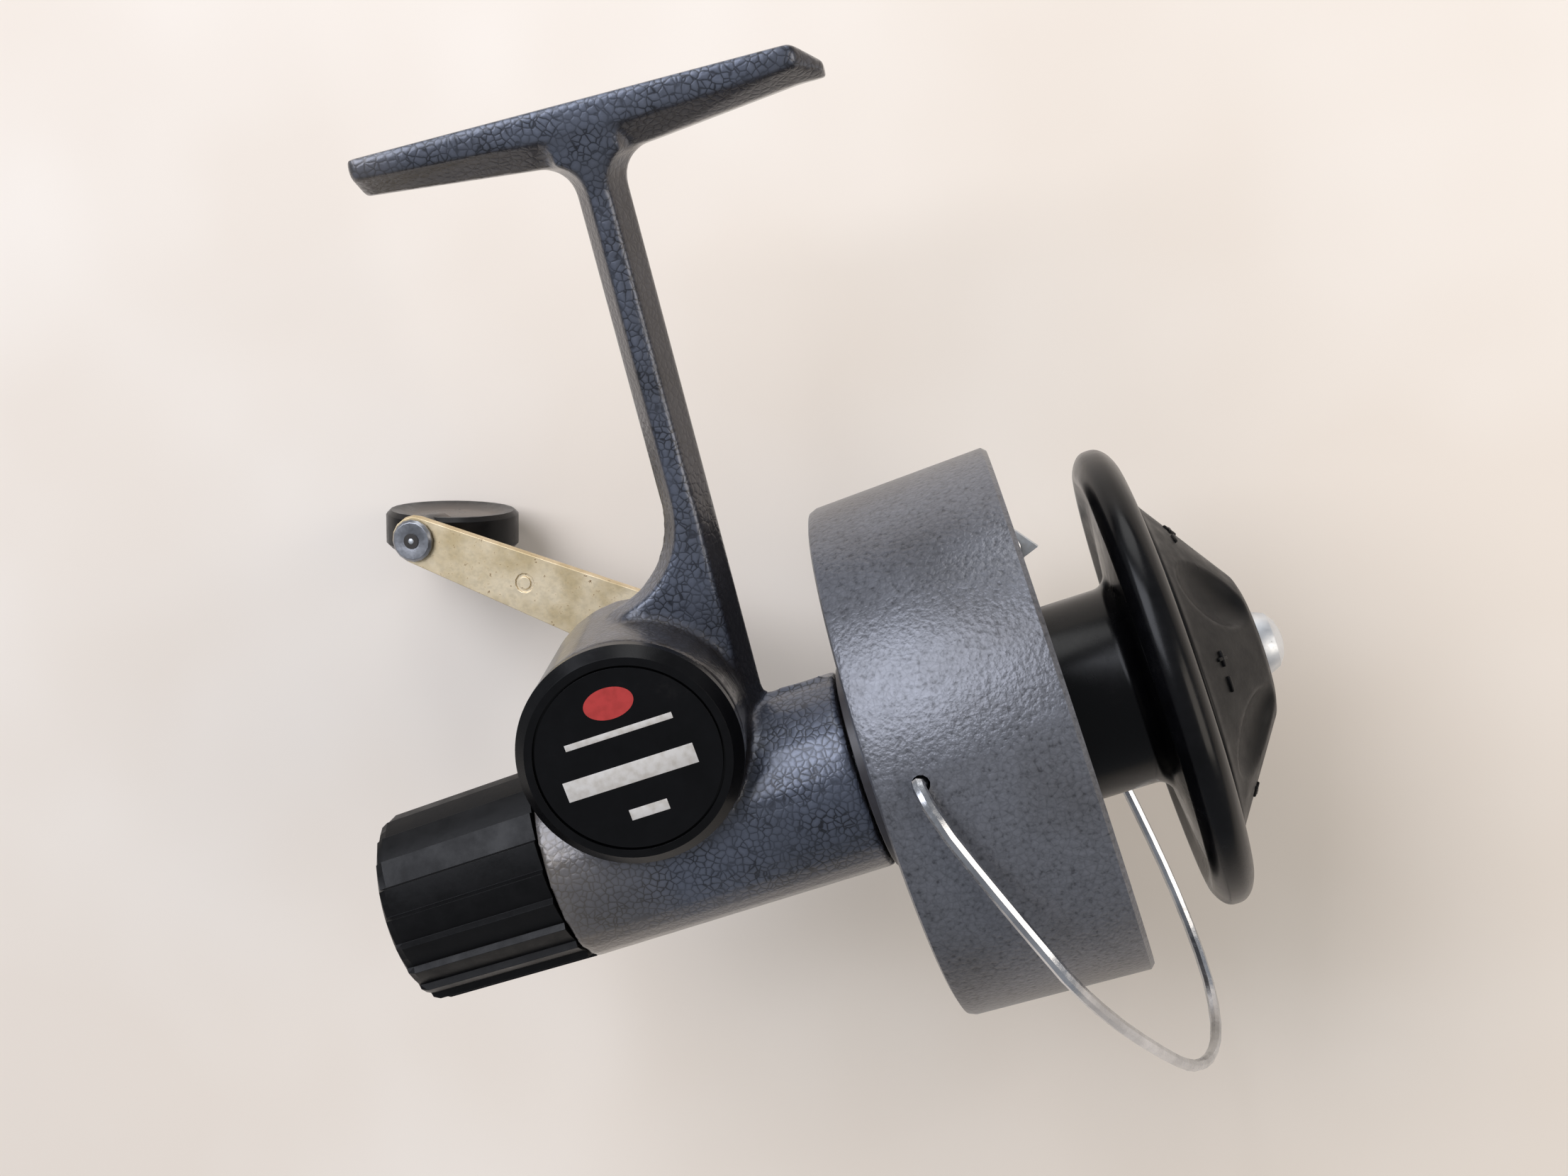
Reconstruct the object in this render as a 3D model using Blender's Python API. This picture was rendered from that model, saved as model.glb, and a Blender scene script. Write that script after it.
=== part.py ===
"""Spinning reel: cast body with a rod foot, crossed helical drive, rotor with bail, spool with front drag.

Metres, +Z up. The origin is on the seat of the foot, above the middle of the stem. +X points
forward, to the spool, and +Y points to the crank. The reel's own axis lies under the foot and
climbs a few degrees to the front, so most pieces are modelled along X in the frame of an empty
that carries that tilt.
"""
from math import acos, atan2, cos, degrees, hypot, pi, radians, sin, sqrt, tan

import bmesh
import bpy
from mathutils import Matrix, Vector

# Fits
GAP = 0.0003                    # clearance between pieces that touch or turn in each other
CUT_OVERRUN = 0.001             # how far a cutter reaches past the face it opens
ROUND_STEPS = 30                # sides of a large round piece
SMALL_STEPS = 16                # sides of a small round piece
DRUM_STEPS = 38                 # sides of the drum

# Reel axis
DRUM_FORWARD = 0.0293           # from the seat's origin to the middle of the rotor drum
AXIS_DROP = 0.0892              # from the seat down to the middle of the rotor drum
AXIS_TILT = radians(5.0)        # the reel axis climbs to the front

# Foot
FOOT_REAR = 0.0283
FOOT_FRONT = 0.0297
FOOT_WIDTH = 0.0148
FOOT_NOSE = 0.0032              # length of the narrowed front end
FOOT_NOSE_WIDTH = 0.0070
FOOT_NOSE_DROP = 0.0027         # tip of the nose below the seat
FOOT_CORNER = 0.0010            # rear corners cut off
FOOT_END_EDGE = 0.0024          # thickness of the side edge at the ends
FOOT_MID_EDGE = 0.0034          # thickness of the side edge at the stem
FOOT_END_KEEL = 0.0045          # thickness of the middle at the ends
FOOT_MID_KEEL = 0.0066          # thickness of the middle at the stem
KEEL_WIDTH = 0.0052

# Stem
STEM_WIDTH = 0.0067             # along the reel, at mid thickness
STEM_THICKNESS = 0.0084
STEM_FACE = 0.0024              # flat left on each side by the bevels
STEM_FILLET = 0.0038            # rounding into the foot, front and rear
STEM_SPREAD = 0.0080            # height over which the sides spread to the foot's edges
STEM_FLARE_START = 0.050        # depth below the seat where the rear edge flares
STEM_FLARE_RADIUS = 0.0125

# Gear case
GEAR_BACK = 0.0409              # gear axis behind the drum's middle
CASE_RADIUS = 0.0142
CASE_LIFT = 0.0015              # underside of the case above the reel axis
CASE_WALL = 0.0018
CASE_NEAR = 0.0138              # open face, towards the cover
CASE_FAR = 0.0100               # outer face on the crank side
CASE_BACK_WALL = 0.0040
CASE_EDGE = 0.0012              # rounding of the far edge
BOSS_RADIUS = 0.0095            # crank bearing boss at the case
BOSS_TIP_RADIUS = 0.0076
BOSS_END = 0.0340

# Tube
TUBE_RADIUS = 0.01325
TUBE_REAR = 0.0573
TUBE_FRONT = 0.0155
TUBE_WALL = 0.00205
POCKET_DEPTH = 0.0085           # bearing pocket in the front wall
RIDGE_WIDTH = 0.0012
RIDGE_HEIGHT = 0.0006
COLLAR_LENGTH = 0.0016

# Side cover
COVER_RIM = 0.0014              # straight part of the rim
COVER_BEVEL = 0.0013
COVER_SPIGOT = 0.0020
COVER_WEB = 0.0015
BADGE_MARGIN = 0.0013           # flat rim round the badge
BADGE_THICKNESS = 0.0004
BADGE_INSET = 0.0001            # badge face below the rim

# Drive gears, crossed helical at right angles
GEAR_TEETH = 21
PINION_TEETH = 6
GEAR_HELIX = radians(35.0)
GEAR_WIDTH = 0.0060
PINION_WIDTH = 0.0084
ADDENDUM = 0.0007
DEDENDUM = 0.0009
TOOTH_THICKNESS = 0.00086       # across the tooth at the pitch line, thinned for backlash
PRESSURE_ANGLE = radians(20.0)
CRANK_PIN_THROW = 0.0045
CRANK_PIN_RADIUS = 0.0015
CRANK_PIN_STAND = 0.0026
SPOOL_LEAD = 0.0005             # the spool's place ahead of mid stroke, at rest

# Handle shaft and bush
SHAFT_RADIUS = 0.0035
SHAFT_SEAT_RADIUS = 0.0030      # the part inside the gear
SHAFT_COLLAR_RADIUS = 0.0052
SHAFT_COLLAR = 0.0013
SHAFT_HUB_RADIUS = 0.0055
SHAFT_SQUARE = 0.0044           # across the flats that drive the crank
SHAFT_THREAD_RADIUS = 0.0019
BUSH_WALL = 0.0017
BUSH_FLANGE = 0.0008
BUSH_FLANGE_RADIUS = 0.0072

# Crank
CRANK_PLANE = 0.0390            # inner face of the crank's root from the middle of the reel
CRANK_BEND = 0.0072             # from the shaft to where the arm starts to lean out
CRANK_LEAN = radians(12.0)
CRANK_THICKNESS = 0.0018
CRANK_LENGTH = 0.0429
CRANK_ANGLE = radians(143.05)   # from forward, turning up
CRANK_ROOT_RADIUS = 0.0056
CRANK_END_RADIUS = 0.0036
CRANK_MARK_RADIUS = 0.0015      # ring stamped in the middle of the arm
CRANK_MARK_WIDTH = 0.0005
CRANK_MARK_DEPTH = 0.00025
CRANK_MARK_BACK = 0.0190        # from the pin
HANDLE_NUT_WIDTH = 0.0080
HANDLE_NUT_HEIGHT = 0.0030
HANDLE_PIN_RADIUS = 0.0012
HANDLE_PIN_HEAD_RADIUS = 0.0033
HANDLE_PIN_HEAD = 0.0008
KNOB_RADIUS = 0.0106
KNOB_RIM = 0.0060               # thickness at the rim
KNOB_MIDDLE = 0.0042            # thickness in the dished middle
KNOB_DISH_RADIUS = 0.0064
KNOB_LIP_RADIUS = 0.0092
KNOB_EDGE = 0.0007
KNOB_NECK_RADIUS = 0.0032
KNOB_NECK = 0.0020
KNOB_TURN = radians(107.0)      # normal of the paddle from the line of the arm

# Pinion sleeve
SLEEVE_RADIUS = 0.0043
SLEEVE_SEAT_RADIUS = 0.0036
SLEEVE_END = 0.0040             # front end, behind the drum's middle
BEARING_RADIUS = 0.0072
BEARING_WIDTH = 0.0056

# Anti-reverse
RATCHET_TEETH = 10
RATCHET_RADIUS = 0.0060
RATCHET_ROOT = 0.0049
RATCHET_WIDTH = 0.0016
RATCHET_AHEAD = 0.0093          # rear face of the ratchet ahead of the gear axis
PAWL_DROP = 0.0092              # pawl pivot under the reel axis
PAWL_PIN_RADIUS = 0.0007
PAWL_HUB_RADIUS = 0.0017
PAWL_TAIL_WIDTH = 0.0018
PAWL_TAIL = (                   # outline from the pivot: across and up
    (0.0004, 0.0012), (0.0035, 0.0027), (0.0073, 0.0036), (0.0072, 0.0047), (0.0032, 0.0038),
    (-0.0006, 0.0014))
PAWL_NOSE = ((0.0006, 0.0010), (-0.0004, 0.0015), (-0.0040, 0.00405), (-0.0049, 0.0032), (-0.0012, -0.0004))
SELECTOR_RADIUS = 0.0009
SELECTOR_OFFSET = 0.0086        # selector rod from the reel axis
SELECTOR_ANGLE = radians(-66.0)

# Rear knob
REAR_KNOB_LENGTH = 0.0223
REAR_KNOB_END_RADIUS = 0.0128
REAR_KNOB_RIBS = 20
REAR_KNOB_RIB_HEIGHT = 0.0008
REAR_KNOB_WALL = 0.0024
REAR_KNOB_SPIGOT = 0.0030
REAR_KNOB_SPIGOT_WALL = 0.0010
REAR_KNOB_ROUNDING = 0.0013

# Rotor drum
DRUM_WIDTH = 0.0243
DRUM_FRONT_RADIUS = 0.0350
DRUM_REAR_RADIUS = 0.0342
DRUM_WALL = 0.0018
DRUM_BACK = 0.0022
DRUM_EDGE = 0.0006
DRUM_HUB_RADIUS = 0.0088
DRUM_HUB_INNER = 0.0023         # hub boss inside the cup
DRUM_HUB_OUTER = 0.0009         # hub boss behind the cup
ROTOR_NUT_WIDTH = 0.0110
ROTOR_NUT_HEIGHT = 0.0030

# Bail
WIRE_RADIUS = 0.0008
PIVOT_NEAR_BACK = 0.0067        # near pivot hole behind the drum's middle
PIVOT_NEAR_ANGLE = radians(12.2)
PIVOT_FAR_AHEAD = 0.0015
PIVOT_FAR_ANGLE = radians(7.4)
WIRE_TAIL = 0.0078              # wire inside the near wall
WIRE_ROOT = 0.0014              # straight wire outside the near wall
WIRE_LOOP = (                   # loop round the spool in drum radii: forward, across and up
    (-0.151, -1.057, 0.046), (0.014, -1.029, -0.431), (0.089, -0.943, -0.663), (0.209, -0.657, -1.020),
    (0.374, -0.086, -1.511), (0.494, 0.371, -1.689), (0.551, 0.714, -1.600), (0.540, 0.910, -1.257),
    (0.477, 1.010, -0.760), (0.395, 1.080, -0.300), (0.340, 1.060, 0.030))
WIRE_HOOK = 0.0024              # height of the bend into the roller
WIRE_HOOK_IN = 0.0020           # width of the bend into the roller
ARM_LENGTH = 0.0122             # far pivot to line roller
ARM_ANGLE = radians(45.7)
ARM_POINT = 0.0050              # point of the arm past the roller's middle
ARM_POINT_TURN = radians(-58.7) # from the arm's line to its point
ARM_EYE_RADIUS = 0.0032         # half width of the arm at the roller
ARM_ROOT_RADIUS = 0.0042
ARM_THICKNESS = 0.0010
ROLLER_RADIUS = 0.0026
ROLLER_GROOVE = 0.0007
ROLLER_WIDTH = 0.0021
ROLLER_STAND = 0.0024           # inner end of the roller outside the drum wall
PIVOT_SCREW_RADIUS = 0.0016
PIVOT_HEAD_RADIUS = 0.0028
PIVOT_HEAD = 0.0010
SPACER_RADIUS = 0.0032
RETAINER_RADIUS = 0.0024
RETAINER_WIDTH = 0.0014
RETAINER_STAND = 0.0013         # from the slanted inner wall, along the hinge
BAIL_SPRING_WIRE = 0.00030
BAIL_SPRING_TURNS = 2
BAIL_SPRING_PITCH = 0.0011

# Main shaft and oscillation
MAIN_RADIUS = 0.0021
MAIN_REAR = 0.0620
MAIN_FRONT = 0.0310
MAIN_COLLAR_AT = 0.0032
MAIN_COLLAR = 0.0018
MAIN_COLLAR_RADIUS = 0.0050
YOKE_BLOCK_AT = 0.0550          # rear of the block behind the drum's middle
YOKE_BLOCK_LENGTH = 0.0050
YOKE_BLOCK_HEIGHT = 0.0080
YOKE_BLOCK_FAR = 0.0040
YOKE_PLATE = 0.0015
YOKE_HALF_WIDTH = 0.0034
YOKE_TOP = 0.0015               # plate above the slot
YOKE_SCREW_RADIUS = 0.0010
YOKE_SCREW_HEAD_RADIUS = 0.0019
YOKE_SCREW_HEAD = 0.0009

# Spool and drag
SPOOL_WEB_AT = 0.0064
SPOOL_WEB = 0.0030
SPOOL_HUB_RADIUS = 0.0130
SPOOL_HUB_WALL = 0.0020
SPOOL_HUB_END = 0.0203
SPOOL_REAR_RADIUS = 0.0304
SPOOL_REAR_FLANGE = 0.0020
SPOOL_LIP_RADIUS = 0.0303
SPOOL_LIP_AT = 0.0244           # middle of the rolled lip
SPOOL_LIP_HALF = 0.0028
SPOOL_DISH = 0.0012             # hollow of the front flange's rear face
SPOOL_FACE = 0.0262             # front face under the drag knob
WASHER_THICKNESS = 0.0008
WASHER_RADIUS = 0.0090
PRESSURE_PLATE_RADIUS = 0.0100
PRESSURE_PLATE = 0.0010
DRAG_SPRING_RADIUS = 0.0042
DRAG_SPRING_WIRE = 0.0004
DRAG_SPRING_TURNS = 3
DRAG_SPRING_LENGTH = 0.0050
DRAG_BOSS_RADIUS = 0.0056
DRAG_BASE_RADIUS = 0.0224
DRAG_RING = 0.0015              # width of the ring at the knob's base
DRAG_STEP = 0.0010              # ring edge above the cone
DRAG_NOSE_AT = 0.0370
DRAG_NOSE_RADIUS = 0.0086
DRAG_SHELL = 0.0022
DRAG_DIMPLES = 5
DIMPLE_TURN = radians(42.0)     # first dimple from the top, towards the cover side
DIMPLE_LENGTH = 0.0074          # half axes of the ellipsoid that scoops a dimple
DIMPLE_WIDTH = 0.0052
DIMPLE_HEIGHT = 0.0030
DIMPLE_LIFT = 0.0012            # ellipsoid's middle above the cone
BUTTON_RADIUS = 0.0041
BUTTON_TIP = 0.0404
BUTTON_DOME = 0.0026
BUTTON_FOOT = 0.0362
BUTTON_WELL = 0.0047            # room for the spring under the button
BUTTON_SPRING_RADIUS = 0.0030
BUTTON_SPRING_WIRE = 0.0003
BUTTON_SPRING_TURNS = 2
BUTTON_SPRING_PITCH = 0.00125
BUTTON_TRAVEL = 0.0012

# Sizes that follow
CASE_BORE = CASE_RADIUS - CASE_WALL
GEAR_RISE = CASE_RADIUS + CASE_LIFT
BADGE_RADIUS = CASE_RADIUS - COVER_BEVEL - BADGE_MARGIN
CASE_FLOOR = CASE_FAR - CASE_BACK_WALL
TUBE_BORE = TUBE_RADIUS - TUBE_WALL
TUBE_FRONT_WALL = -TUBE_FRONT - POCKET_DEPTH
PINION_HELIX = pi / 2 - GEAR_HELIX
GEAR_RATIO = GEAR_TEETH / PINION_TEETH
PINION_PITCH = GEAR_RISE / (1 + GEAR_RATIO * tan(GEAR_HELIX))
GEAR_PITCH = GEAR_RISE - PINION_PITCH
GEAR_MIDDLE = Vector((-GEAR_BACK, 0.0, GEAR_RISE))
DRUM_HALF = DRUM_WIDTH / 2
KNOB_FRONT = -TUBE_REAR - GAP
PAWL_PIVOT = Vector((0.0, 0.0, -PAWL_DROP))
RATCHET_AT = -GEAR_BACK + RATCHET_AHEAD
SELECTOR_END = RATCHET_AT - GAP * 2
CRANK_OUTER = CRANK_PLANE + CRANK_THICKNESS
CRANK_RISE = (CRANK_LENGTH - CRANK_BEND) * tan(CRANK_LEAN)
DRUM_REACH = max(DRUM_FRONT_RADIUS, DRUM_REAR_RADIUS)


def drum_radius(x):
    """Outer radius of the tapered drum at a place along the reel axis."""
    share = (x + DRUM_HALF) / DRUM_WIDTH
    return DRUM_REAR_RADIUS + (DRUM_FRONT_RADIUS - DRUM_REAR_RADIUS) * share


def bail_frame():
    """Frame of the bail's hinge: origin on the near wall, Y along the hinge to the far wall."""
    near_radius = drum_radius(-PIVOT_NEAR_BACK)
    far_radius = drum_radius(PIVOT_FAR_AHEAD)
    near = Vector((-PIVOT_NEAR_BACK, -near_radius * cos(PIVOT_NEAR_ANGLE),
                   near_radius * sin(PIVOT_NEAR_ANGLE)))
    far = Vector((PIVOT_FAR_AHEAD, far_radius * cos(PIVOT_FAR_ANGLE), far_radius * sin(PIVOT_FAR_ANGLE)))
    along = (far - near).normalized()
    forward = (Vector((1, 0, 0)) - along * along.x).normalized()
    up = forward.cross(along)
    frame = Matrix((forward, along, up)).transposed().to_4x4()
    frame.translation = near
    return frame, (far - near).length


def grip_frame():
    """Frame of the knob's pin on the gear's axis: X out along the leaning arm, Y along the pin."""
    out = Vector((cos(CRANK_ANGLE), 0, sin(CRANK_ANGLE)))
    side = Vector((0, 1, 0))
    along = out * cos(CRANK_LEAN) + side * sin(CRANK_LEAN)
    pin = side * cos(CRANK_LEAN) - out * sin(CRANK_LEAN)
    frame = Matrix((along, pin, along.cross(pin))).transposed().to_4x4()
    frame.translation = out * CRANK_LENGTH + side * (CRANK_PLANE + CRANK_RISE)
    return frame


BAIL_FRAME, BAIL_SPAN = bail_frame()
ROLLER_IN = BAIL_SPAN + ROLLER_STAND
ROLLER_OUT = ROLLER_IN + ROLLER_WIDTH
ARM_IN = ROLLER_OUT + GAP
ARM_OUT = ARM_IN + ARM_THICKNESS
ROLLER_X = ARM_LENGTH * cos(ARM_ANGLE)
ROLLER_Z = ARM_LENGTH * sin(ARM_ANGLE)

COLOURS = {
    "hammer_paint": ((0.30, 0.33, 0.40), 0.35, 0.6),
    "black_gloss": ((0.012, 0.012, 0.014), 0.18, 0.0),
    "black_satin": ((0.020, 0.020, 0.022), 0.45, 0.0),
    "badge": ((0.03, 0.03, 0.03), 0.3, 0.0),
    "bright_steel": ((0.60, 0.61, 0.63), 0.22, 1.0),
    "plated_metal": ((0.52, 0.51, 0.48), 0.35, 1.0),
    "bronze": ((0.55, 0.36, 0.16), 0.35, 1.0),
    "fibre": ((0.20, 0.07, 0.04), 0.8, 0.0),
}


def finish_material(name):
    """Principled material of one finish, made once."""
    found = bpy.data.materials.get(name)
    if found:
        return found
    colour, roughness, metallic = COLOURS[name]
    made = bpy.data.materials.new(name)
    made.use_nodes = True
    shader = made.node_tree.nodes["Principled BSDF"]
    shader.inputs["Base Color"].default_value = (*colour, 1.0)
    shader.inputs["Roughness"].default_value = roughness
    shader.inputs["Metallic"].default_value = metallic
    return made


def add_empty(name, parent=None, frame=None):
    """Empty that carries pieces on an axis."""
    empty = bpy.data.objects.new(name, None)
    bpy.context.scene.collection.objects.link(empty)
    empty.parent = parent
    if frame is not None:
        empty.matrix_local = frame
    return empty


def add_piece(name, shape, finish, parent=None):
    """Named object from a bmesh, smooth but for its sharp edges."""
    mesh = bpy.data.meshes.new(name)
    shape.to_mesh(mesh)
    shape.free()
    mesh.shade_smooth()
    mesh.set_sharp_from_angle(angle=radians(35))
    mesh.materials.append(finish_material(finish))
    piece = bpy.data.objects.new(name, mesh)
    bpy.context.scene.collection.objects.link(piece)
    piece.parent = parent
    return piece


def combine(piece, shape, operation, parent=None):
    """Boolean of a piece with a hidden tool shape."""
    tool = add_piece(f"{piece.name}_tool", shape, "black_satin", parent if parent else piece.parent)
    tool.hide_render = True
    tool.display_type = "WIRE"
    step = piece.modifiers.new(operation.lower(), "BOOLEAN")
    step.operation = operation
    step.solver = "EXACT"
    step.object = tool


def turned(profile, axis="X", steps=ROUND_STEPS):
    """Solid of revolution from (along, radius) points; a ring's profile closes on itself."""
    shape = bmesh.new()
    points = [shape.verts.new((along, 0.0, radius)) for along, radius in profile]
    pairs = list(zip(points, points[1:]))
    if profile[0][1] > 0:
        pairs.append((points[-1], points[0]))
    edges = [shape.edges.new(pair) for pair in pairs]
    bmesh.ops.spin(shape, geom=points + edges, cent=(0, 0, 0), axis=(1, 0, 0), angle=2 * pi,
                   steps=steps, use_merge=True, use_duplicate=False)
    bmesh.ops.remove_doubles(shape, verts=shape.verts, dist=1e-6)
    flat = [end[0] for end, beside in (profile[:2], profile[:-3:-1]) if end[1] == 0 and end[0] == beside[0]]
    hubs = [v for v in shape.verts
            if hypot(v.co.y, v.co.z) < 1e-7 and any(abs(v.co.x - x) < 1e-7 for x in flat)]
    bmesh.ops.dissolve_verts(shape, verts=hubs)
    bmesh.ops.recalc_face_normals(shape, faces=shape.faces)
    if axis == "Y":
        shape.transform(Matrix.Rotation(pi / 2, 4, "Z"))
    return shape


def ring(start, end, inner, outer, axis="X", steps=SMALL_STEPS):
    """Plain sleeve or washer."""
    return turned([(start, outer), (end, outer), (end, inner), (start, inner)], axis, steps)


def rod(start, end, radius, axis="X", steps=SMALL_STEPS):
    """Plain round bar."""
    return turned([(start, 0.0), (start, radius), (end, radius), (end, 0.0)], axis, steps)


def extruded(outline, start, end, axis="Y"):
    """Plate of an outline: (x, z) points pushed along Y, or (y, z) points along X."""
    shape = bmesh.new()
    if axis == "Y":
        corners = [(u, start, v) for u, v in outline]
        push = (0, end - start, 0)
    else:
        corners = [(start, u, v) for u, v in outline]
        push = (end - start, 0, 0)
    face = shape.faces.new([shape.verts.new(corner) for corner in corners])
    grown = bmesh.ops.extrude_face_region(shape, geom=[face])
    moved = [item for item in grown["geom"] if isinstance(item, bmesh.types.BMVert)]
    bmesh.ops.translate(shape, verts=moved, vec=push)
    bmesh.ops.recalc_face_normals(shape, faces=shape.faces)
    return shape


def lofted(sections):
    """Closed skin through sections that have the same number of points."""
    shape = bmesh.new()
    rings = [[shape.verts.new(point) for point in section] for section in sections]
    for lower, upper in zip(rings, rings[1:]):
        for k in range(len(lower)):
            n = (k + 1) % len(lower)
            shape.faces.new((lower[k], lower[n], upper[n], upper[k]))
    shape.faces.new(rings[0])
    shape.faces.new(rings[-1])
    bmesh.ops.connect_verts_nonplanar(shape, angle_limit=radians(0.1), faces=shape.faces)
    bmesh.ops.recalc_face_normals(shape, faces=shape.faces)
    return shape


def arc(middle, radius, start, end, steps):
    """Points along an arc, both ends included."""
    turns = [start + (end - start) * k / steps for k in range(steps + 1)]
    return [(middle[0] + radius * cos(turn), middle[1] + radius * sin(turn)) for turn in turns]


def tapered_link(root, root_radius, tip, tip_radius, steps=8, point=0.0, turn=0.0):
    """Outline of a flat link: two ends joined by straight flanks, the far end round or pointed."""
    length = hypot(tip[0] - root[0], tip[1] - root[1])
    heading = atan2(tip[1] - root[1], tip[0] - root[0])
    spread = acos((root_radius - tip_radius) / length)
    outline = arc(root, root_radius, heading + spread, heading + 2 * pi - spread, steps)
    end = arc(tip, tip_radius, heading - spread, heading + spread, steps)
    if point:
        peak = (tip[0] + point * cos(heading + turn), tip[1] + point * sin(heading + turn))
        shoulder = heading + turn + acos(tip_radius / point)
        end = [end[0], peak] + arc(tip, tip_radius, shoulder, heading + spread, steps)
    return outline + end


def polygon(width, sides, turn=0.0):
    """Corner points of a regular polygon, given across its flats."""
    reach = width / 2 / cos(pi / sides)
    corners = [turn + 2 * pi * k / sides for k in range(sides)]
    return [(reach * cos(corner), reach * sin(corner)) for corner in corners]


def nut(width, start, end, bore, axis="X"):
    """Hexagon nut: returns the blank and its bore."""
    blank = extruded(polygon(width, 6), start, end, axis)
    return blank, rod(start - CUT_OVERRUN, end + CUT_OVERRUN, bore, axis)


def moved(shape, place):
    """Shape shifted to a place."""
    bmesh.ops.translate(shape, verts=shape.verts, vec=place)
    return shape


def smooth_route(points, spacing):
    """Even points on a smooth curve through a route."""
    route = [2 * points[0] - points[1], *points, 2 * points[-1] - points[-2]]
    dense = []
    for before, start, end, after in zip(route, route[1:], route[2:], route[3:]):
        steps = max(2, round((end - start).length / spacing))
        for k in range(steps):
            t = k / steps
            square = 2 * before - 5 * start + 4 * end - after
            cube = 3 * start - before - 3 * end + after
            dense.append(0.5 * (2 * start + (end - before) * t + square * t**2 + cube * t**3))
    return dense + [points[-1]]


def tube(name, points, radius, finish, parent, resolution):
    """Round wire along points, with closed ends."""
    curve = bpy.data.curves.new(name, "CURVE")
    curve.dimensions = "3D"
    curve.bevel_depth = radius
    curve.bevel_resolution = resolution
    curve.use_fill_caps = True
    spline = curve.splines.new("POLY")
    spline.points.add(len(points) - 1)
    for target, point in zip(spline.points, points):
        target.co = (*point, 1.0)
    curve.materials.append(finish_material(finish))
    wire = bpy.data.objects.new(name, curve)
    bpy.context.scene.collection.objects.link(wire)
    wire.parent = parent
    return wire


def coil(name, start, radius, wire, turns, pitch, axis, finish, parent):
    """Coil spring about an axis; prints the least gap between its turns."""
    per_turn = 9
    points = []
    for k in range(turns * per_turn + 1):
        turn = 2 * pi * k / per_turn
        along = start + wire + pitch * k / per_turn
        around = (radius * cos(turn), radius * sin(turn))
        points.append(Vector((along, *around)) if axis == "X" else Vector((around[1], along, around[0])))
    apart = [(a - b).length for i, a in enumerate(points) for b in points[i + per_turn - 1:]]
    print(f"{name}: least gap between turns {1000 * (min(apart) - 2 * wire):.2f} mm")
    return tube(name, points, wire, finish, parent, 1)


def helical_teeth(teeth, pitch, helix, width, layers, lead, axis, first):
    """Solid gear with helical teeth; lead is the sign of the twist, first the middle of one tooth."""
    slope = tan(PRESSURE_ANGLE) / cos(helix)
    half = TOOTH_THICKNESS / cos(helix) / 2
    tip = pitch + ADDENDUM
    root = pitch - DEDENDUM
    spans = [(root, (half + DEDENDUM * slope) / root), (pitch, half / pitch),
             (tip, (half - ADDENDUM * slope) / tip)]
    flank = [(radius, -span) for radius, span in spans] + [(radius, span) for radius, span in reversed(spans)]
    sections = []
    for layer in range(layers + 1):
        along = width * (layer / layers - 0.5)
        twist = lead * along * tan(helix) / pitch
        section = []
        for tooth in range(teeth):
            for radius, span in flank:
                turn = first + twist + 2 * pi * tooth / teeth + span
                u, v = radius * cos(turn), radius * sin(turn)
                section.append((along, u, v) if axis == "X" else (u, along, v))
        sections.append(section)
    return lofted(sections)


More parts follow.
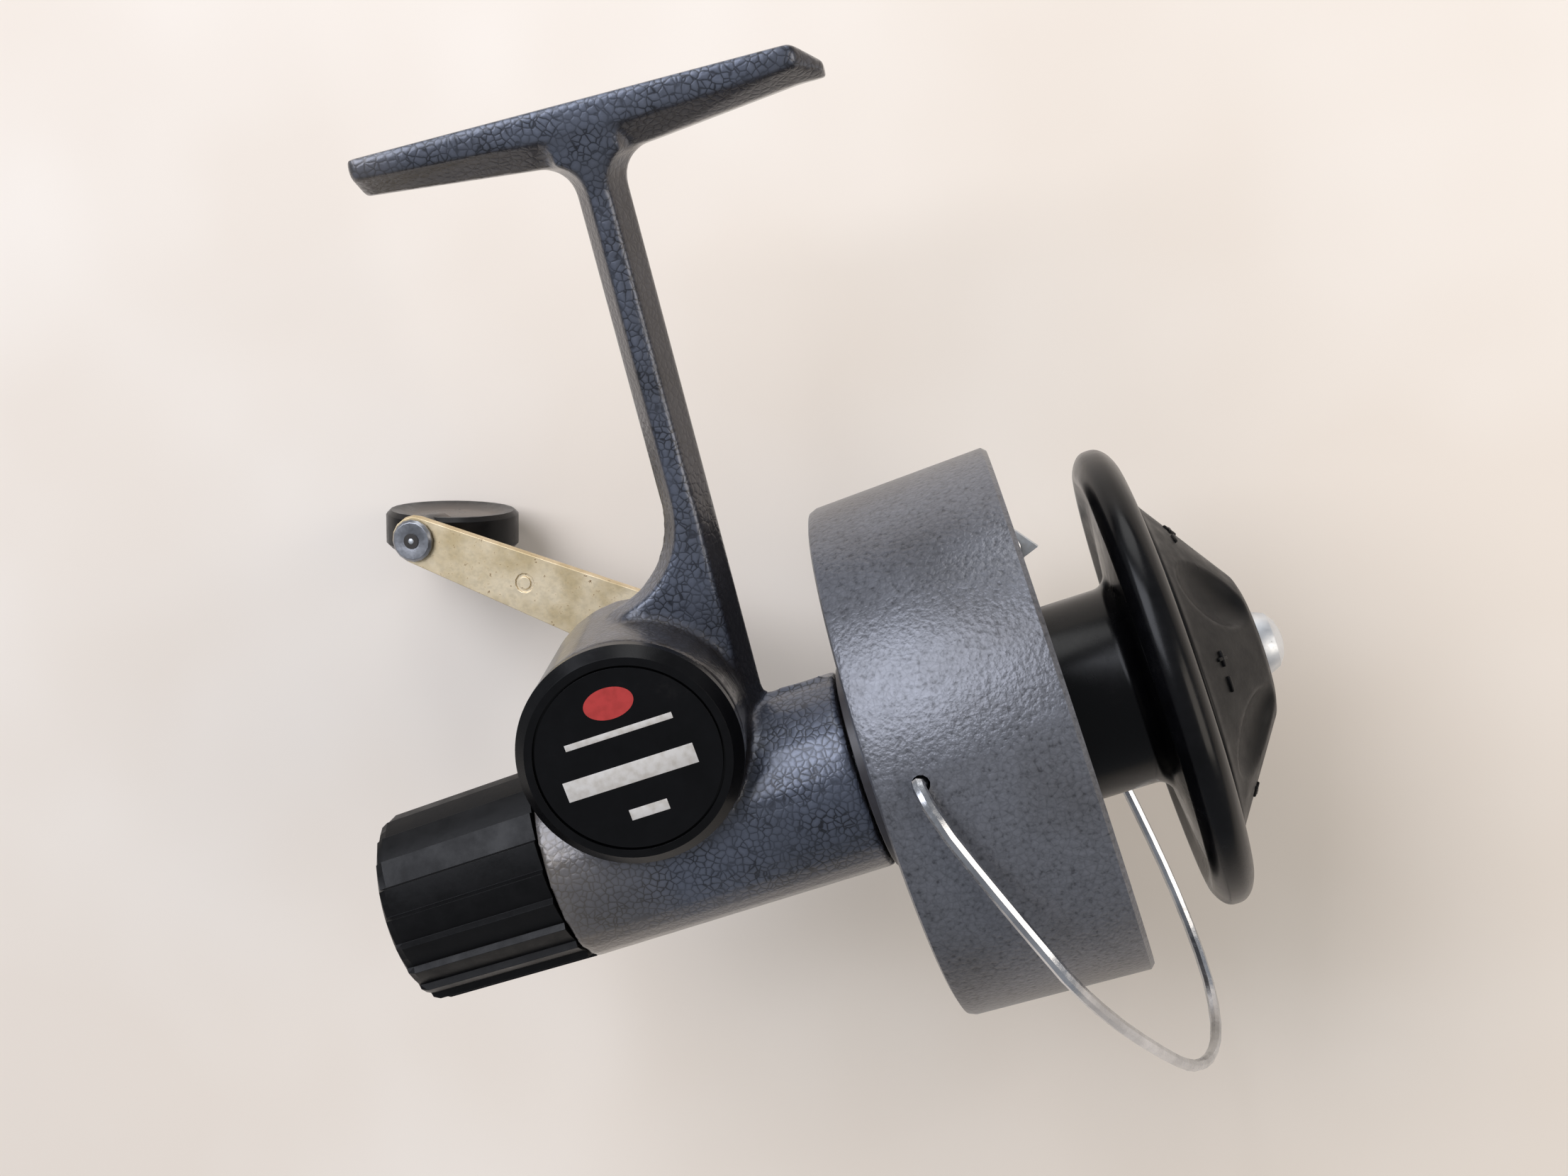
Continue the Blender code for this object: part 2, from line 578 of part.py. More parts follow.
def make_body(reel):
    """One casting: foot, stem, gear case, crank boss and tube, bored for the works."""
    half = FOOT_WIDTH / 2
    nose_edge = (FOOT_NOSE_DROP + FOOT_END_KEEL) / 2
    stations = [
        (-FOOT_REAR, half - FOOT_CORNER, 0.0, FOOT_END_EDGE, FOOT_END_KEEL),
        (-FOOT_REAR + FOOT_CORNER, half, 0.0, FOOT_END_EDGE, FOOT_END_KEEL),
        (-STEM_WIDTH, half, 0.0, FOOT_MID_EDGE, FOOT_MID_KEEL),
        (STEM_WIDTH, half, 0.0, FOOT_MID_EDGE, FOOT_MID_KEEL),
        (FOOT_FRONT - FOOT_NOSE, half, 0.0, FOOT_END_EDGE, FOOT_END_KEEL),
        (FOOT_FRONT, FOOT_NOSE_WIDTH / 2, FOOT_NOSE_DROP, nose_edge, FOOT_END_KEEL),
    ]
    sections = []
    for x, side, top, edge, keel in stations:
        inner = min(KEEL_WIDTH, side) / 2
        sections.append([(x, -side, -top), (x, side, -top), (x, side, -edge), (x, inner, -keel),
                         (x, -inner, -keel), (x, -side, -edge)])
    body = add_piece("body_casting", lofted(sections), "hammer_paint")

    mid, face, thick = STEM_WIDTH / 2, STEM_FACE / 2, STEM_THICKNESS / 2
    bevel = mid - face
    levels = []
    for turn in (75, 50, 25, 0):
        sweep = radians(turn)
        spread = STEM_FILLET * (1 - cos(sweep))
        levels.append((FOOT_MID_KEEL + STEM_FILLET * (1 - sin(sweep)), spread, spread))
    levels.insert(0, (FOOT_MID_EDGE, *levels[0][1:]))
    levels.append((FOOT_MID_EDGE + STEM_SPREAD, 0.0, 0.0))
    for turn in (0, 30, 50, 66, 80):
        sweep = radians(turn)
        flare = STEM_FLARE_RADIUS * (1 - cos(sweep))
        levels.append((STEM_FLARE_START + STEM_FLARE_RADIUS * sin(sweep), flare, 0.0))
    levels.append((AXIS_DROP - GEAR_RISE * 0.5, STEM_FLARE_RADIUS, 0.0))
    sections = []
    for depth, behind, ahead in levels:
        rear, front = -mid - behind, mid + ahead
        share = max(0.0, 1 - (depth - FOOT_MID_EDGE) / STEM_SPREAD)
        side = thick + (half - GAP - thick) * share
        sections.append([(rear, 0, -depth), (rear + bevel, -side, -depth), (front - bevel, -side, -depth),
                         (front, 0, -depth), (front - bevel, side, -depth), (rear + bevel, side, -depth)])
    combine(body, lofted(sections), "UNION")

    case = turned([(-CASE_NEAR, 0), (-CASE_NEAR, CASE_RADIUS), (CASE_FAR - CASE_EDGE, CASE_RADIUS),
                   (CASE_FAR, CASE_RADIUS - CASE_EDGE), (CASE_FAR, BOSS_RADIUS + CASE_EDGE),
                   (CASE_FAR + CASE_EDGE, BOSS_RADIUS), (BOSS_END - CASE_EDGE, BOSS_TIP_RADIUS),
                   (BOSS_END, BOSS_TIP_RADIUS - CASE_EDGE), (BOSS_END, 0)], "Y", ROUND_STEPS)
    combine(body, moved(case, GEAR_MIDDLE), "UNION", reel)
    combine(body, rod(-TUBE_REAR, -TUBE_FRONT, TUBE_RADIUS, steps=ROUND_STEPS), "UNION", reel)
    crown = TUBE_RADIUS + RIDGE_HEIGHT
    ridge = [(-RIDGE_WIDTH / 2, 0), (RIDGE_WIDTH / 2, 0), (RIDGE_WIDTH / 4, crown), (-RIDGE_WIDTH / 4, crown)]
    combine(body, extruded(ridge, -GEAR_BACK, -TUBE_FRONT - COLLAR_LENGTH, "X"), "UNION", reel)

    cavity = rod(-CASE_NEAR - CUT_OVERRUN, CASE_FLOOR, CASE_BORE, "Y", ROUND_STEPS)
    combine(body, moved(cavity, GEAR_MIDDLE), "DIFFERENCE", reel)
    bore = rod(-TUBE_REAR - CUT_OVERRUN, TUBE_FRONT_WALL, TUBE_BORE, steps=ROUND_STEPS)
    combine(body, bore, "DIFFERENCE", reel)
    pocket = rod(TUBE_FRONT_WALL - CUT_OVERRUN, -TUBE_FRONT + CUT_OVERRUN, BEARING_RADIUS + GAP)
    combine(body, pocket, "DIFFERENCE", reel)
    bush_seat = rod(CASE_FLOOR - CUT_OVERRUN, BOSS_END + CUT_OVERRUN, SHAFT_RADIUS + BUSH_WALL + 2 * GAP, "Y")
    combine(body, moved(bush_seat, GEAR_MIDDLE), "DIFFERENCE", reel)
    pin_seat = rod(TUBE_FRONT_WALL - CUT_OVERRUN, TUBE_FRONT_WALL + POCKET_DEPTH / 2, PAWL_PIN_RADIUS + GAP)
    combine(body, moved(pin_seat, PAWL_PIVOT), "DIFFERENCE", reel)


def make_case_fittings(reel, gear):
    """Cover, badge, bearings and the front collar."""
    back = -CASE_NEAR - GAP
    rim = back - COVER_RIM
    face = rim - COVER_BEVEL
    floor = face + BADGE_INSET + BADGE_THICKNESS + GAP
    plug = CASE_BORE - GAP
    cover = [(back + COVER_SPIGOT, plug), (back, plug), (back, CASE_RADIUS), (rim, CASE_RADIUS),
             (face, CASE_RADIUS - COVER_BEVEL), (face, BADGE_RADIUS + GAP), (floor, BADGE_RADIUS + GAP),
             (floor, 0)]
    inside = [(floor + COVER_WEB, 0), (floor + COVER_WEB, plug - COVER_WEB),
              (back + COVER_SPIGOT, plug - COVER_WEB)]
    shell = inside + cover
    add_piece("side_cover", turned(shell, "Y"), "black_gloss", gear)
    badge = rod(face + BADGE_INSET, face + BADGE_INSET + BADGE_THICKNESS, BADGE_RADIUS, "Y", ROUND_STEPS)
    add_piece("cover_badge", badge, "badge", gear)

    flange = CASE_FLOOR - GAP
    inner = SHAFT_RADIUS + GAP
    brim = flange - BUSH_FLANGE
    bush = [(brim, inner), (brim, BUSH_FLANGE_RADIUS), (flange, BUSH_FLANGE_RADIUS),
            (flange, inner + BUSH_WALL), (BOSS_END, inner + BUSH_WALL), (BOSS_END, inner)]
    add_piece("shaft_bush", turned(bush, "Y", SMALL_STEPS), "bronze", gear)

    front = -TUBE_FRONT + GAP
    collar = ring(front, front + COLLAR_LENGTH, SLEEVE_RADIUS + 2 * GAP, TUBE_RADIUS + GAP, steps=ROUND_STEPS)
    add_piece("front_collar", collar, "plated_metal", reel)
    seat = -TUBE_FRONT - BEARING_WIDTH
    bearing = ring(seat, -TUBE_FRONT, SLEEVE_RADIUS + GAP, BEARING_RADIUS)
    add_piece("pinion_bearing", bearing, "bright_steel", reel)
    pin_end = TUBE_FRONT_WALL + POCKET_DEPTH / 2 - GAP
    pin = rod(RATCHET_AT - PAWL_TAIL_WIDTH - 3 * GAP, pin_end, PAWL_PIN_RADIUS)
    add_piece("pawl_pin", moved(pin, PAWL_PIVOT), "bright_steel", reel)


def make_drive(gear, grip):
    """Crank shaft with its gear, crank pin, crank arm and nut."""
    half = GEAR_WIDTH / 2
    phase = -pi / 2 + pi / GEAR_TEETH
    teeth = helical_teeth(GEAR_TEETH, GEAR_PITCH, GEAR_HELIX, GEAR_WIDTH, 3, 1, "Y", phase)
    wheel = add_piece("drive_gear", teeth, "bronze", gear)
    combine(wheel, rod(-half - CUT_OVERRUN, half + CUT_OVERRUN, SHAFT_SEAT_RADIUS + GAP, "Y"), "DIFFERENCE")
    throw = Vector((SPOOL_LEAD, 0, sqrt(CRANK_PIN_THROW**2 - SPOOL_LEAD**2)))
    hole = rod(-half - CUT_OVERRUN, half + CUT_OVERRUN, CRANK_PIN_RADIUS + GAP, "Y")
    combine(wheel, moved(hole, throw), "DIFFERENCE")
    pin = rod(-half - CRANK_PIN_STAND, half - GAP, CRANK_PIN_RADIUS, "Y")
    add_piece("crank_pin", moved(pin, throw), "bright_steel", gear)

    collar = half + GAP
    hub = BOSS_END + 3 * GAP
    square_start = CRANK_PLANE - GAP
    thread_end = CRANK_OUTER + GAP + HANDLE_NUT_HEIGHT + GAP
    profile = [(GAP - half, 0), (GAP - half, SHAFT_SEAT_RADIUS), (collar, SHAFT_SEAT_RADIUS),
               (collar, SHAFT_COLLAR_RADIUS), (collar + SHAFT_COLLAR, SHAFT_COLLAR_RADIUS),
               (collar + SHAFT_COLLAR, SHAFT_RADIUS), (hub, SHAFT_RADIUS), (hub, SHAFT_HUB_RADIUS),
               (square_start, SHAFT_HUB_RADIUS), (square_start, SHAFT_THREAD_RADIUS),
               (thread_end, SHAFT_THREAD_RADIUS), (thread_end, 0)]
    shaft = add_piece("handle_shaft", turned(profile, "Y", SMALL_STEPS), "plated_metal", gear)
    square = polygon(SHAFT_SQUARE, 4, CRANK_ANGLE)
    combine(shaft, extruded(square, square_start - CUT_OVERRUN, CRANK_OUTER), "UNION")

    tip = (CRANK_LENGTH * cos(CRANK_ANGLE), CRANK_LENGTH * sin(CRANK_ANGLE))
    end = CRANK_LENGTH + 2 * CRANK_END_RADIUS
    rise = (end - CRANK_BEND) * tan(CRANK_LEAN)
    outline = tapered_link((0, 0), CRANK_ROOT_RADIUS, tip, CRANK_END_RADIUS)
    blank = extruded(outline, CRANK_PLANE - CUT_OVERRUN, CRANK_OUTER + rise + CRANK_THICKNESS)
    arm = add_piece("crank_arm", blank, "plated_metal", gear)
    outer_bend = CRANK_BEND - CRANK_THICKNESS * tan(CRANK_LEAN / 2)
    bent = [(-2 * CRANK_ROOT_RADIUS, CRANK_PLANE), (CRANK_BEND, CRANK_PLANE), (end, CRANK_PLANE + rise),
            (end, CRANK_PLANE + rise + CRANK_THICKNESS / cos(CRANK_LEAN)), (outer_bend, CRANK_OUTER),
            (-2 * CRANK_ROOT_RADIUS, CRANK_OUTER)]
    strip = extruded(bent, -2 * CRANK_ROOT_RADIUS, 2 * CRANK_ROOT_RADIUS)
    strip.transform(Matrix.Rotation(-CRANK_ANGLE, 4, "Y") @ Matrix.Rotation(-pi / 2, 4, "X"))
    combine(arm, strip, "INTERSECT")
    opening = polygon(SHAFT_SQUARE + 2 * GAP, 4, CRANK_ANGLE)
    combine(arm, extruded(opening, CRANK_PLANE - CUT_OVERRUN, CRANK_OUTER + CUT_OVERRUN), "DIFFERENCE")
    hole = rod(-CUT_OVERRUN, CRANK_THICKNESS + CUT_OVERRUN, HANDLE_PIN_RADIUS + GAP, "Y", 12)
    combine(arm, hole, "DIFFERENCE", grip)
    inner = CRANK_MARK_RADIUS - CRANK_MARK_WIDTH
    mark = ring(-CUT_OVERRUN, CRANK_MARK_DEPTH, inner, CRANK_MARK_RADIUS, "Y", 12)
    combine(arm, moved(mark, (-CRANK_MARK_BACK, 0, 0)), "DIFFERENCE", grip)

    seat = CRANK_OUTER + GAP
    blank, bore = nut(HANDLE_NUT_WIDTH, seat, seat + HANDLE_NUT_HEIGHT, SHAFT_THREAD_RADIUS + GAP, "Y")
    combine(add_piece("handle_nut", blank, "plated_metal", gear), bore, "DIFFERENCE")


def make_handle_knob(grip):
    """Round paddle knob on its pin; the pin is riveted in the crank arm."""
    neck = CRANK_THICKNESS + GAP
    middle = neck + KNOB_NECK + KNOB_RADIUS
    rim, dish = KNOB_RIM / 2, KNOB_MIDDLE / 2
    side = [(dish, 0), (dish, KNOB_DISH_RADIUS), (rim, KNOB_LIP_RADIUS), (rim, KNOB_RADIUS - KNOB_EDGE),
            (rim - KNOB_EDGE, KNOB_RADIUS)]
    profile = side + [(-along, radius) for along, radius in reversed(side)]
    paddle = turned(profile, "X", 26)
    paddle.transform(Matrix.Rotation(-KNOB_TURN, 4, "Y"))
    knob = add_piece("handle_knob", moved(paddle, (0, middle, 0)), "black_gloss", grip)
    combine(knob, rod(neck, middle - KNOB_RADIUS / 2, KNOB_NECK_RADIUS, "Y"), "UNION")
    pin_end = middle + KNOB_RADIUS / 2
    bore = rod(neck - CUT_OVERRUN, pin_end + GAP, HANDLE_PIN_RADIUS + GAP, "Y", 12)
    combine(knob, bore, "DIFFERENCE")
    brim = -GAP - HANDLE_PIN_HEAD
    chamfer = HANDLE_PIN_HEAD / 2
    pin = [(brim + chamfer, 0), (brim, HANDLE_PIN_RADIUS), (brim, HANDLE_PIN_HEAD_RADIUS - chamfer),
           (brim + chamfer, HANDLE_PIN_HEAD_RADIUS), (-GAP, HANDLE_PIN_HEAD_RADIUS),
           (-GAP, HANDLE_PIN_RADIUS), (pin_end, HANDLE_PIN_RADIUS), (pin_end, 0)]
    add_piece("handle_pin", turned(pin, "Y", SMALL_STEPS), "plated_metal", grip)


def make_rotor(reel, bail):
    """Pinion on its sleeve, ratchet wheel, drum and nut."""
    middle = Vector((-GEAR_BACK, 0, 0))
    teeth = helical_teeth(PINION_TEETH, PINION_PITCH, PINION_HELIX, PINION_WIDTH, 9, -1, "X", pi / 2)
    pinion = add_piece("pinion", moved(teeth, middle), "bright_steel", reel)
    front = -GEAR_BACK + PINION_WIDTH / 2
    seat = -DRUM_HALF - DRUM_HUB_OUTER - GAP
    sleeve = turned([(front - CUT_OVERRUN, 0), (front - CUT_OVERRUN, SLEEVE_RADIUS), (seat, SLEEVE_RADIUS),
                     (seat, SLEEVE_SEAT_RADIUS), (-SLEEVE_END, SLEEVE_SEAT_RADIUS), (-SLEEVE_END, 0)],
                    steps=SMALL_STEPS)
    combine(pinion, sleeve, "UNION")
    through = rod(-GEAR_BACK - PINION_WIDTH, 0.0, MAIN_RADIUS + GAP)
    combine(pinion, through, "DIFFERENCE")

    teeth = []
    for k in range(RATCHET_TEETH):
        turn = 2 * pi * k / RATCHET_TEETH
        teeth.append((RATCHET_RADIUS * cos(turn), RATCHET_RADIUS * sin(turn)))
        turn += 0.15 * 2 * pi / RATCHET_TEETH
        teeth.append((RATCHET_ROOT * cos(turn), RATCHET_ROOT * sin(turn)))
    ratchet = add_piece("ratchet_wheel", extruded(teeth, RATCHET_AT, RATCHET_AT + RATCHET_WIDTH, "X"),
                        "bright_steel", reel)
    bore = rod(RATCHET_AT - CUT_OVERRUN, RATCHET_AT + RATCHET_WIDTH + CUT_OVERRUN, SLEEVE_RADIUS + GAP)
    combine(ratchet, bore, "DIFFERENCE")

    bore = SLEEVE_SEAT_RADIUS + GAP
    floor = -DRUM_HALF + DRUM_BACK
    boss = -DRUM_HALF - DRUM_HUB_OUTER
    profile = [(boss, bore), (boss, DRUM_HUB_RADIUS - DRUM_HUB_OUTER),
               (-DRUM_HALF, DRUM_HUB_RADIUS), (-DRUM_HALF, DRUM_REAR_RADIUS - 2 * DRUM_EDGE),
               (-DRUM_HALF + DRUM_EDGE / 2, DRUM_REAR_RADIUS - DRUM_EDGE / 2),
               (-DRUM_HALF + 2 * DRUM_EDGE, drum_radius(-DRUM_HALF + 2 * DRUM_EDGE)),
               (DRUM_HALF - DRUM_EDGE, drum_radius(DRUM_HALF - DRUM_EDGE)),
               (DRUM_HALF, DRUM_FRONT_RADIUS - DRUM_EDGE), (DRUM_HALF, DRUM_FRONT_RADIUS - DRUM_WALL),
               (floor + DRUM_EDGE, DRUM_REAR_RADIUS - DRUM_WALL),
               (floor, DRUM_REAR_RADIUS - DRUM_WALL - DRUM_EDGE),
               (floor, DRUM_HUB_RADIUS), (floor + DRUM_HUB_INNER, DRUM_HUB_RADIUS - DRUM_HUB_OUTER),
               (floor + DRUM_HUB_INNER, bore)]
    drum = add_piece("rotor_drum", turned(profile, steps=DRUM_STEPS), "hammer_paint", reel)
    combine(drum, rod(-2 * DRUM_WALL, 2 * DRUM_WALL, WIRE_RADIUS + GAP, "Y", 12), "DIFFERENCE", bail)
    far_hole = rod(BAIL_SPAN - 2 * DRUM_WALL, BAIL_SPAN + DRUM_WALL, PIVOT_SCREW_RADIUS + GAP, "Y", 12)
    combine(drum, far_hole, "DIFFERENCE", bail)
    start = floor + DRUM_HUB_INNER + GAP
    blank, bore = nut(ROTOR_NUT_WIDTH, start, start + ROTOR_NUT_HEIGHT, SLEEVE_SEAT_RADIUS + GAP)
    combine(add_piece("rotor_nut", blank, "bronze", reel), bore, "DIFFERENCE")

    head = ARM_OUT + GAP
    inside = BAIL_SPAN - DRUM_WALL
    screw = [(inside, 0), (inside, PIVOT_SCREW_RADIUS),
             (head, PIVOT_SCREW_RADIUS), (head, PIVOT_HEAD_RADIUS),
             (head + PIVOT_HEAD * 0.6, PIVOT_HEAD_RADIUS),
             (head + PIVOT_HEAD, PIVOT_HEAD_RADIUS * 0.6), (head + PIVOT_HEAD, 0)]
    add_piece("bail_pivot_screw", turned(screw, "Y", 16), "bright_steel", bail)
    spacer = ring(BAIL_SPAN + 4 * GAP, ARM_IN - GAP, PIVOT_SCREW_RADIUS + GAP, SPACER_RADIUS, "Y", 16)
    add_piece("bail_spacer", spacer, "plated_metal", bail)


def make_bail(bail):
    """Wire, pointed arm and roller, with the wire's retainer and spring inside the drum."""
    into = BAIL_FRAME.inverted()
    axle = [Vector((0, along, 0)) for along in (WIRE_TAIL, WIRE_TAIL / 2, 0.0, -WIRE_ROOT)]
    loop = [into @ (Vector(share) * DRUM_REACH) for share in WIRE_LOOP]
    hook = [(-WIRE_HOOK_IN, -WIRE_HOOK), (-WIRE_HOOK_IN / 2, -WIRE_HOOK / 4), (0.0, 0.0),
            (ROLLER_WIDTH / 2, 0.0), (ARM_OUT + 2 * GAP - ROLLER_IN, 0.0)]
    eye = [Vector((ROLLER_X, ROLLER_IN + along, ROLLER_Z + up)) for along, up in hook]
    route = smooth_route(axle + loop + eye, 6 * WIRE_RADIUS)
    tube("bail_wire", route, WIRE_RADIUS, "bright_steel", bail, 2)

    outline = tapered_link((0, 0), ARM_ROOT_RADIUS, (ROLLER_X, ROLLER_Z), ARM_EYE_RADIUS, 12, ARM_POINT,
                           ARM_POINT_TURN)
    arm = add_piece("bail_arm", extruded(outline, ARM_IN, ARM_OUT), "plated_metal", bail)
    pivot = rod(ARM_IN - CUT_OVERRUN, ARM_OUT + CUT_OVERRUN, PIVOT_SCREW_RADIUS + GAP, "Y", 16)
    combine(arm, pivot, "DIFFERENCE")
    eye = rod(ARM_IN - CUT_OVERRUN, ARM_OUT + CUT_OVERRUN, WIRE_RADIUS + GAP, "Y", 12)
    combine(arm, moved(eye, (ROLLER_X, 0, ROLLER_Z)), "DIFFERENCE")

    seat = DRUM_WALL + RETAINER_STAND
    retainer = ring(seat, seat + RETAINER_WIDTH, WIRE_RADIUS + GAP, RETAINER_RADIUS, "Y", 16)
    add_piece("wire_retainer", retainer, "plated_metal", bail)
    turn_radius = WIRE_RADIUS + BAIL_SPRING_WIRE + 2 * GAP
    coil("bail_spring", seat + RETAINER_WIDTH + GAP, turn_radius, BAIL_SPRING_WIRE, BAIL_SPRING_TURNS,
         BAIL_SPRING_PITCH, "Y", "bright_steel", bail)


def make_roller(roller):
    """Grooved line roller on the end of the wire."""
    bore = WIRE_RADIUS + GAP
    waist = ROLLER_RADIUS - ROLLER_GROOVE
    profile = [(0, bore), (0, ROLLER_RADIUS), (ROLLER_WIDTH * 0.15, ROLLER_RADIUS),
               (ROLLER_WIDTH * 0.4, waist), (ROLLER_WIDTH * 0.6, waist),
               (ROLLER_WIDTH * 0.85, ROLLER_RADIUS), (ROLLER_WIDTH, ROLLER_RADIUS),
               (ROLLER_WIDTH, bore)]
    add_piece("line_roller", turned(profile, "Y", 16), "bright_steel", roller)


def make_main_shaft(reel):
    """Sliding shaft with the yoke that the crank pin moves to and fro."""
    collar_end = MAIN_COLLAR_AT + MAIN_COLLAR
    shaft = turned([(-MAIN_REAR, 0), (-MAIN_REAR, MAIN_RADIUS), (MAIN_COLLAR_AT, MAIN_RADIUS),
                    (MAIN_COLLAR_AT, MAIN_COLLAR_RADIUS), (collar_end, MAIN_COLLAR_RADIUS),
                    (collar_end, MAIN_RADIUS),
                    (MAIN_FRONT, MAIN_RADIUS), (MAIN_FRONT, 0)], steps=SMALL_STEPS)
    add_piece("main_shaft", shaft, "bright_steel", reel)

    inner = -GEAR_WIDTH / 2 - CRANK_PIN_STAND - GAP
    outer = inner - YOKE_PLATE
    slot_x = -GEAR_BACK + SPOOL_LEAD
    slot_half = CRANK_PIN_RADIUS + GAP
    slot_low = GEAR_RISE - CRANK_PIN_THROW
    slot_high = GEAR_RISE + CRANK_PIN_THROW
    top = slot_high + slot_half + YOKE_TOP
    rear, half = -YOKE_BLOCK_AT, YOKE_BLOCK_HEIGHT / 2
    outline = [(rear, -half), (slot_x + YOKE_HALF_WIDTH, -half), (slot_x + YOKE_HALF_WIDTH, top),
               (slot_x - YOKE_HALF_WIDTH, top), (slot_x - YOKE_HALF_WIDTH, half), (rear, half)]
    yoke = add_piece("oscillation_yoke", extruded(outline, outer, inner), "plated_metal", reel)
    block = [(rear, -half), (rear + YOKE_BLOCK_LENGTH, -half), (rear + YOKE_BLOCK_LENGTH, half), (rear, half)]
    combine(yoke, extruded(block, (outer + inner) / 2, YOKE_BLOCK_FAR), "UNION")
    slot = arc((slot_x, slot_high), slot_half, 0, pi, 6) + arc((slot_x, slot_low), slot_half, pi, 2 * pi, 6)
    combine(yoke, extruded(slot, outer - CUT_OVERRUN, inner + CUT_OVERRUN), "DIFFERENCE")
    bore = rod(rear - CUT_OVERRUN, rear + YOKE_BLOCK_LENGTH + CUT_OVERRUN, MAIN_RADIUS + GAP)
    combine(yoke, bore, "DIFFERENCE")
    middle = Vector((rear + YOKE_BLOCK_LENGTH / 2, 0, 0))
    hole = rod(MAIN_RADIUS, YOKE_BLOCK_FAR + CUT_OVERRUN, YOKE_SCREW_RADIUS + GAP, "Y", 12)
    combine(yoke, moved(hole, middle), "DIFFERENCE")
    head = YOKE_BLOCK_FAR + GAP
    screw = turned([(MAIN_RADIUS + GAP, 0), (MAIN_RADIUS + GAP, YOKE_SCREW_RADIUS), (head, YOKE_SCREW_RADIUS),
                    (head, YOKE_SCREW_HEAD_RADIUS), (head + YOKE_SCREW_HEAD, YOKE_SCREW_HEAD_RADIUS),
                    (head + YOKE_SCREW_HEAD, 0)], "Y", 12)
    add_piece("yoke_screw", moved(screw, middle), "bright_steel", reel)

    seat = SPOOL_WEB_AT + SPOOL_WEB + GAP + WASHER_THICKNESS + GAP
    plate = ring(seat, seat + PRESSURE_PLATE, MAIN_RADIUS + GAP, PRESSURE_PLATE_RADIUS)
    add_piece("pressure_plate", plate, "bright_steel", reel)
    start = seat + PRESSURE_PLATE + GAP
    pitch = (DRAG_SPRING_LENGTH - 2 * DRAG_SPRING_WIRE) / DRAG_SPRING_TURNS
    coil("drag_spring", start, DRAG_SPRING_RADIUS, DRAG_SPRING_WIRE, DRAG_SPRING_TURNS, pitch, "X",
         "bright_steel", reel)
    return start + DRAG_SPRING_LENGTH + GAP


def make_spool(reel):
    """Black spool with a rear flange, a hub for the line and a rolled front lip, with its washers."""
    bore = MAIN_RADIUS + GAP
    web_end = SPOOL_WEB_AT + SPOOL_WEB
    rear_end = web_end
    rear_start = rear_end - SPOOL_REAR_FLANGE
    cup = SPOOL_HUB_RADIUS - SPOOL_HUB_WALL
    lip_back = SPOOL_LIP_AT - SPOOL_LIP_HALF
    lip_front = SPOOL_LIP_AT + SPOOL_LIP_HALF
    lip = SPOOL_LIP_RADIUS
    roll = SPOOL_LIP_HALF
    profile = [(SPOOL_WEB_AT, bore), (SPOOL_WEB_AT, cup), (rear_start, SPOOL_HUB_RADIUS),
               (rear_start, SPOOL_REAR_RADIUS - SPOOL_REAR_FLANGE / 3),
               (rear_start + SPOOL_REAR_FLANGE / 3, SPOOL_REAR_RADIUS),
               (rear_end - SPOOL_REAR_FLANGE / 3, SPOOL_REAR_RADIUS),
               (rear_end, SPOOL_REAR_RADIUS - SPOOL_REAR_FLANGE / 3), (rear_end, SPOOL_HUB_RADIUS),
               (SPOOL_HUB_END, SPOOL_HUB_RADIUS), (SPOOL_HUB_END + SPOOL_DISH, SPOOL_HUB_RADIUS + SPOOL_DISH),
               (SPOOL_HUB_END + 2 * SPOOL_DISH, lip - 2 * roll),
               (lip_back, lip - 0.9 * roll), (lip_back + 0.25 * roll, lip - 0.35 * roll),
               (SPOOL_LIP_AT - 0.4 * roll, lip),
               (SPOOL_LIP_AT + 0.3 * roll, lip), (lip_front - 0.3 * roll, lip - 0.35 * roll),
               (lip_front, lip - 0.95 * roll), (lip_front - 0.2 * roll, lip - 1.6 * roll),
               (SPOOL_FACE, lip - 1.9 * roll), (SPOOL_FACE, cup), (web_end, cup), (web_end, bore)]
    add_piece("spool", turned(profile, steps=ROUND_STEPS), "black_gloss", reel)
    under = MAIN_COLLAR_AT + MAIN_COLLAR + GAP
    add_piece("spool_washer", ring(under, SPOOL_WEB_AT - GAP, bore, WASHER_RADIUS), "fibre", reel)
    over = web_end + GAP
    add_piece("drag_washer", ring(over, over + WASHER_THICKNESS, bore, WASHER_RADIUS), "fibre", reel)


